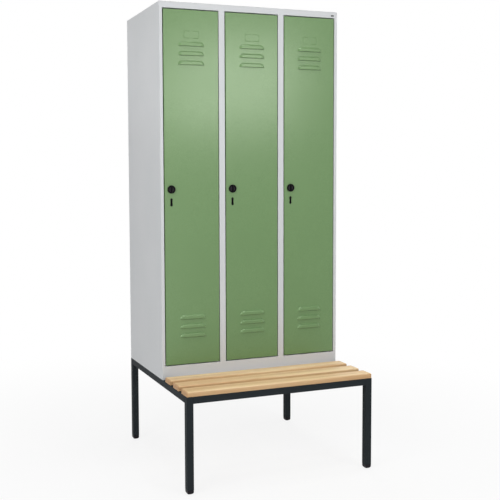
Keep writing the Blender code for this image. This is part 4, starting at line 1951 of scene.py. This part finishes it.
@dataclass
class BenchFrame(SubAssembly):
    """The anthracite frame of square tube, on black plastic feet."""

    tube: float = 0.030
    wall: float = 0.002
    corner_radius: float = 0.0015
    least_radius: float = 0.0008
    corner_steps: int = 5
    cap_edge: float = 0.0006
    foot_radius: float = 0.0110
    foot_steps: int = 7
    foot_draw: float = 0.0003
    foot_rounding: float = 0.8
    # How much painted light a foot has above its sole, which fades to painted shade at the floor.
    foot_painted_light: float = 0.45
    collar: float = 0.020
    stem_clearance: float = 0.0004
    stem_chamfer: float = 0.002
    foot_flat: float = 0.001
    weld_inset: float = 0.0036

    def build(self) -> None:
        """Builds and shows the tubes, the feet and the welds."""
        for corner in BENCH_CORNERS:
            self._tube(f"bench_leg_{corner}", 2)
            foot = f"foot_{corner}"
            mesh = self._foot(*box(foot))
            self.workshop.show(f"{foot}_plug", mesh, Finish.BLACK_PLASTIC, foot)
        for end in ("front", "middle", "back"):
            self._tube(f"bench_{end}_rail", 0)
        for side in ("left", "right"):
            self._tube(f"bench_side_rail_{side}", 1)
        WeldBeads(self.workshop).build(self._joints())

    def _tube(self, node: str, axis: int) -> None:
        """Shows a square tube. An upright one has a plate on its upper end.

        Args:
            node: Its CAD node.
            axis: The axis that it runs along.
        """
        low, high = box(node)
        capped = axis == 2
        start, end = low[axis], high[axis]
        wall, edge = self.wall, self.cap_edge
        if capped:
            ends = [(wall, start), (0.0, start), (0.0, end - edge), (edge, end)]
        else:
            ends = [(wall, start), (0.0, start), (0.0, end), (wall, end), (wall, start)]
        rows = [self._tube_loop(low, high, axis, inset, at) for inset, at in ends]
        surface = Surface()
        if capped:
            surface.cap(rows[-1])
            inner = [self._tube_loop(low, high, axis, wall, at) for at in (start, end - wall)]
            surface.strip(inner).cap(inner[-1])
        mesh = shaded(surface.strip(rows).mesh("tube"))
        self.workshop.show(f"{node}_tube", mesh, Finish.ANTHRACITE_COAT, node)

    def _tube_loop(
        self, low: Vector, high: Vector, axis: int, inset: float, at: float
    ) -> list[Vector]:
        """Draws a rounded square across a tube.

        Args:
            low: The tube's lowest corner.
            high: The tube's highest corner.
            axis: The axis that it runs along.
            inset: How far inside the tube's faces the square stays.
            at: Its place along the axis.

        Returns:
            The points.
        """
        first, second = (axis + 1) % 3, (axis + 2) % 3
        size = (high[first] - low[first] - 2 * inset, high[second] - low[second] - 2 * inset)
        radius = max(self.corner_radius - inset, self.least_radius)
        row = []
        for a, b in rounded_rectangle(*size, radius, self.corner_steps):
            point = Vector((0, 0, 0))
            point[axis] = at
            point[first] = (low[first] + high[first]) / 2 + a
            point[second] = (low[second] + high[second]) / 2 + b
            row.append(point)
        return row

    def _foot(self, low: Vector, high: Vector) -> Mesh:
        """Makes a plastic plug with a rounded sole, whose stem stands in the tube. It has painted
        light: paler above, and darker towards the sole as painted shade near the floor.

        Args:
            low: The lowest corner of its CAD node.
            high: The highest corner.

        Returns:
            The mesh in place.
        """
        draw, edge, chamfer = self.foot_draw, self.cap_edge, self.stem_chamfer
        collar, stem = low.z + self.collar, self.wall + self.stem_clearance
        bend = quarter_bend(self.foot_radius, self.foot_steps)
        ends = [(inset + draw, low.z + back) for inset, back in bend]
        ends += [(draw, collar - edge), (draw + edge, collar), (stem, collar)]
        ends += [(stem, high.z - chamfer), (stem + chamfer, high.z)]
        rows = [self._foot_loop(centre(low, high), inset, at) for inset, at in ends]
        mesh = shaded(Surface().solid(rows).mesh("foot"))
        # Painted light and shade: paler up the plug, darkening to the plain black at the sole.
        rises = [clamped((vertex.co.z - low.z) / self.foot_radius) for vertex in mesh.vertices]
        return with_painted_light(mesh, [self.foot_painted_light * rise for rise in rises])

    def _foot_loop(self, middle: Vector, inset: float, at: float) -> list[Place]:
        """Draws a rounded square across a foot, rounder where it draws in.

        Args:
            middle: The foot's middle.
            inset: How far inside the tube's faces the square stays.
            at: Its height.

        Returns:
            The points.
        """
        size = self.tube - 2 * inset
        radius = min(self.corner_radius + inset * self.foot_rounding, size / 2 - self.foot_flat)
        loop = rounded_rectangle(size, size, radius, self.corner_steps)
        return [(middle.x + x, middle.y + y, at) for x, y in loop]

    def _joints(self) -> list[Corners]:
        """Finds the inner corners under the rails, where they meet the legs and each other.

        Returns:
            The two ends of each joint.
        """
        inset = self.weld_inset
        joints = []
        for corner in BENCH_CORNERS:
            end, side = corner.split("_")
            low, high = box(f"bench_leg_{corner}")
            inner_x = high.x if side == "left" else low.x
            inner_y = high.y if end == "front" else low.y
            z = box(f"bench_{end}_rail")[0].z
            joints.append(((inner_x, low.y + inset, z), (inner_x, high.y - inset, z)))
            joints.append(((low.x + inset, inner_y, z), (high.x - inset, inner_y, z)))
        low, high = box("bench_middle_rail")
        for x in (low.x, high.x):
            joints.append(((x, low.y + inset, low.z), (x, high.y - inset, low.z)))
        return [(Vector(start), Vector(end)) for start, end in joints]


@dataclass
class Badge(SubAssembly):
    """A small blank plate at the right end of the top rail."""

    width: float = 0.015
    height: float = 0.006
    thickness: float = 0.0006
    corner_radius: float = 0.0009
    chamfer: float = 0.0003
    side_grain_and_shade_share: float = 0.6
    side_inset: float = 0.0265
    drop: float = 0.017

    def build(self) -> None:
        """Builds and shows the plate."""
        low, high = box(*SIDE_PANELS)
        middle = (high.x - self.side_inset, high.z - self.drop)
        side = self.thickness * self.side_grain_and_shade_share
        rows = []
        for inset, out in ((0.0, 0.0), (0.0, side), (self.chamfer, self.thickness)):
            size = (self.width - 2 * inset, self.height - 2 * inset)
            loop = moved(rounded_rectangle(*size, self.corner_radius - inset), *middle)
            rows.append([(x, low.y - out, z) for x, z in loop])
        mesh = shaded(Surface().solid(rows).mesh("blank_badge"))
        self.workshop.show("blank_badge", mesh, Finish.BLACK_PLASTIC)


@dataclass(frozen=True)
class Lamp:
    """A soft white lamp that looks at a point, as wide and as high as its size says."""

    name: str
    place: Place
    target: Place
    size: Point
    power: float

    def build(self) -> None:
        """Adds the lamp, which the camera doesn't see."""
        light = bpy.data.lights.new(self.name, "AREA")
        light.shape, light.energy = "RECTANGLE", self.power
        light.size, light.size_y = self.size
        obj = placed(self.name, light)
        start = Vector(self.place)
        turn = (Vector(self.target) - start).to_track_quat("-Z", "Y")
        obj.matrix_world = Matrix.Translation(start) @ turn.to_matrix().to_4x4()
        obj.visible_camera = False


@dataclass
class Studio:
    """A pale floor, a white surround and soft lamps."""

    floor_side: float = 60.0
    floor_colour: Colour = (240, 240, 240)
    shadow_share: float = 0.16
    shadow_reach: Point = (0.7, 2.6)
    daylight: float = 0.16
    lamps: tuple[Lamp, ...] = (
        Lamp("key_lamp", (0.88, -2.46, 2.06), (-0.154, -0.0925, 1.764), (1.05, 0.6), 18.4),
        Lamp("left_lamp", (-2.6, -1.6, 2.2), (-0.45, 0.15, 1.5), (1.5, 1.5), 38.0),
        Lamp("top_lamp", (0.0, -0.9, 6.5), (0.0, -0.3, 0.5), (3.0, 3.0), 138.0),
        Lamp("low_lamp", (0.0, -3.4, 0.6), (0.0, -0.1, 0.7), (1.6, 1.6), 9.6),
        Lamp("back_lamp", (0.9, 3.4, 2.6), (0.0, 0.3, 1.2), (1.8, 1.8), 36.0),
        Lamp("right_lamp", (3.3, 0.3, 2.4), (0.45, 0.15, 1.2), (1.8, 1.8), 22.0),
        Lamp("edge_lamp", (-1.19, 2.4, 2.14), (-0.45, 0.14, 1.83), (0.7, 0.7), 1.5),
    )

    def build(self) -> None:
        """Builds the stage and the lights."""
        self._floor()
        self._surround()
        for lamp in self.lamps:
            lamp.build()

    @staticmethod
    def _seen(builder: NodeBuilder) -> Socket:
        """Tells where the camera, a reflection or glass looks.

        Args:
            builder: Adds the nodes.

        Returns:
            A socket that is 1 there, and 0 elsewhere.
        """
        rays = builder.node("ShaderNodeLightPath").outputs
        total = builder.socket(rays, "Is Camera Ray")
        for name in ("Is Glossy Ray", "Is Transmission Ray"):
            sockets = {"Value": total, "Value_001": builder.socket(rays, name)}
            total = builder.node("ShaderNodeMath", {"operation": "MAXIMUM"}, sockets).outputs[0]
        return total

    @staticmethod
    def _mixed(builder: NodeBuilder, share: Any, first: Socket, second: Socket) -> Socket:
        """Mixes two shaders.

        Args:
            builder: Adds the node.
            share: How much of the second shows.
            first: The first shader's output.
            second: The second shader's output.

        Returns:
            The mixed shader.
        """
        sockets = {"Fac": share, "Shader": first, "Shader_001": second}
        return builder.node("ShaderNodeMixShader", None, sockets).outputs[0]

    def _floor(self) -> None:
        """Adds the floor, which looks nearly white and still keeps the locker's shadow."""
        half = self.floor_side / 2
        corners = [(x, y, 0) for x, y in rectangle(-half, half, -half, half)]
        mesh = plain_mesh("floor", corners, faces=[(0, 1, 2, 3)])
        shader = ShaderTree("pale_floor")
        matt = shader.node("ShaderNodeBsdfDiffuse", None, {"Color": linear(self.floor_colour)})
        glow = shader.node("ShaderNodeEmission", None, {"Color": WHITE, "Strength": 1.0})
        place = {"Vector": shader.places()}
        reach = shader.node("ShaderNodeVectorMath", {"operation": "LENGTH"}, place).outputs
        near = 1 - Signal(shader, shader.socket(reach, "Value")).step(*self.shadow_reach)
        share = Signal(shader, self._seen(shader)) * (1 - near * self.shadow_share)
        mixed = self._mixed(shader, share, matt.outputs[0], glow.outputs[0])
        shader.feed(shader.socket(shader.output.inputs, "Surface"), mixed)
        mesh.materials.append(shader.material)
        floor = placed("floor", mesh)

    def _surround(self) -> None:
        """Adds the world: white where it is seen, and softer where it lights the locker."""
        world = bpy.data.worlds.new("surround")
        world.use_nodes = True
        bpy.context.scene.world = world
        builder = NodeBuilder(world.node_tree)
        builder.tree.nodes.clear()
        sky, white = (
            builder.node("ShaderNodeBackground", None, {"Color": WHITE, "Strength": strength})
            for strength in (self.daylight, 1.0)
        )
        mixed = self._mixed(builder, self._seen(builder), sky.outputs[0], white.outputs[0])
        builder.feed(builder.node("ShaderNodeOutputWorld").inputs[0], mixed)


@dataclass(frozen=True)
class PhotoCamera:
    """The camera of the photograph.

    Angles are in degrees, and lengths in pixels are of the whole frame.
    """

    place: Place = (-1.62129, -3.55116, 1.34657)
    heading: float = 19.553
    tilt: float = 3.792
    roll: float = -0.507
    focal_length: float = 814.1
    centre: Point = (173.0, 230.0)
    sensor: float = 36.0

    def build(self) -> None:
        """Adds the camera and makes it the scene's."""
        heading, tilt, roll = map(math.radians, (self.heading, self.tilt, self.roll))
        level = Vector((math.cos(heading), -math.sin(heading), 0))
        ahead = (math.sin(heading) * math.cos(tilt), math.cos(heading) * math.cos(tilt))
        forward = Vector((*ahead, -math.sin(tilt)))
        upright = level.cross(forward)
        right = level * math.cos(roll) + upright * math.sin(roll)
        up = upright * math.cos(roll) - level * math.sin(roll)
        data = bpy.data.cameras.new("photo_camera")
        data.sensor_width = self.sensor
        data.lens = self.focal_length * self.sensor / PHOTO_SIDE
        data.shift_x = (PHOTO_SIDE / 2 - self.centre[0]) / PHOTO_SIDE
        data.shift_y = (self.centre[1] - PHOTO_SIDE / 2) / PHOTO_SIDE
        camera = placed("photo_camera", data)
        turn = Matrix((right, up, -forward)).transposed().to_4x4()
        camera.matrix_world = Matrix.Translation(Vector(self.place)) @ turn
        bpy.context.scene.camera = camera


def finishes() -> dict[Finish, Material]:
    """Builds every finish. The grain of the boards follows the places of the slats.

    Returns:
        A material for each finish.
    """
    (low, high), (next_low, _), *_ = slat_boxes()
    recipes = {
        Finish.GREY_COAT: PowderCoat(
            "light_grey_powder_coat",
            colour=(218, 220, 222),
            cloud=(214, 217, 219),
            roughness=0.42,
            specular=0.3,
        ),
        Finish.GREEN_COAT: PowderCoat(
            "green_powder_coat",
            colour=(115, 148, 99),
            cloud=(111, 144, 95),
            roughness=0.275,
            sheen_colour=(243, 255, 234),
        ),
        Finish.ANTHRACITE_COAT: PowderCoat(
            "anthracite_powder_coat",
            colour=(47, 52, 55),
            cloud=(43, 48, 51),
            roughness=0.50,
            peel_size=0.0011,
            peel_height=0.00004,
            specular=0.03,
        ),
        Finish.BLACK_PLASTIC: MouldedPlastic(
            "black_plastic",
            colour=(13, 13, 14),
            worn=(18, 18, 19),
            # The pale colour is painted highlight on the knob's dish and painted light on the feet.
            pale=(58, 53, 60),
            roughness=0.38,
            specular=0.08,
        ),
        Finish.ZINC: ZincPlate(
            "zinc_plated_steel",
            colour=(164, 168, 172),
            dull=(136, 140, 145),
            roughness=0.42,
        ),
        Finish.BEECH: LacqueredBeech(
            "lacquered_beech",
            light=(246, 220, 177),
            middle=(228, 194, 149),
            dark=(199, 157, 112),
            rosy=(224, 183, 138),
            fleck=(165, 112, 72),
            end_grain=(196, 154, 114),
            # The side colour is a darker edge-grain tone together with painted shade on the slats'
            # vertical faces.
            side_grain_and_shade=(199, 155, 109),
            first_edge=low.y - HALF_SLAT_GAP,
            board_pitch=next_low.y - low.y,
            half_length=high.x,
            top=high.z,
        ),
    }
    return {finish: recipe.material() for finish, recipe in recipes.items()}


def main() -> None:
    """Loads the frame, builds every sub-assembly in order and sets the stage."""
    logging.basicConfig(level=logging.INFO, format="%(name)s: %(message)s")
    bpy.ops.wm.read_factory_settings(use_empty=True)
    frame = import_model()
    workshop = Workshop(frame, finishes())
    Casing(workshop).build()
    for compartment in COMPARTMENTS:
        Fittings(workshop, compartment).build()
    LockerDoor(workshop).build()
    for compartment in COMPARTMENTS:
        RotaryLatch(workshop, compartment).build()
    BenchFrame(workshop).build()
    Seat(workshop).build()
    SlatScrews(workshop).build()
    Badge(workshop).build()
    Studio().build()
    PhotoCamera().build()
    bpy.context.scene.view_settings.view_transform = "Standard"


if __name__ == "__main__":
    main()
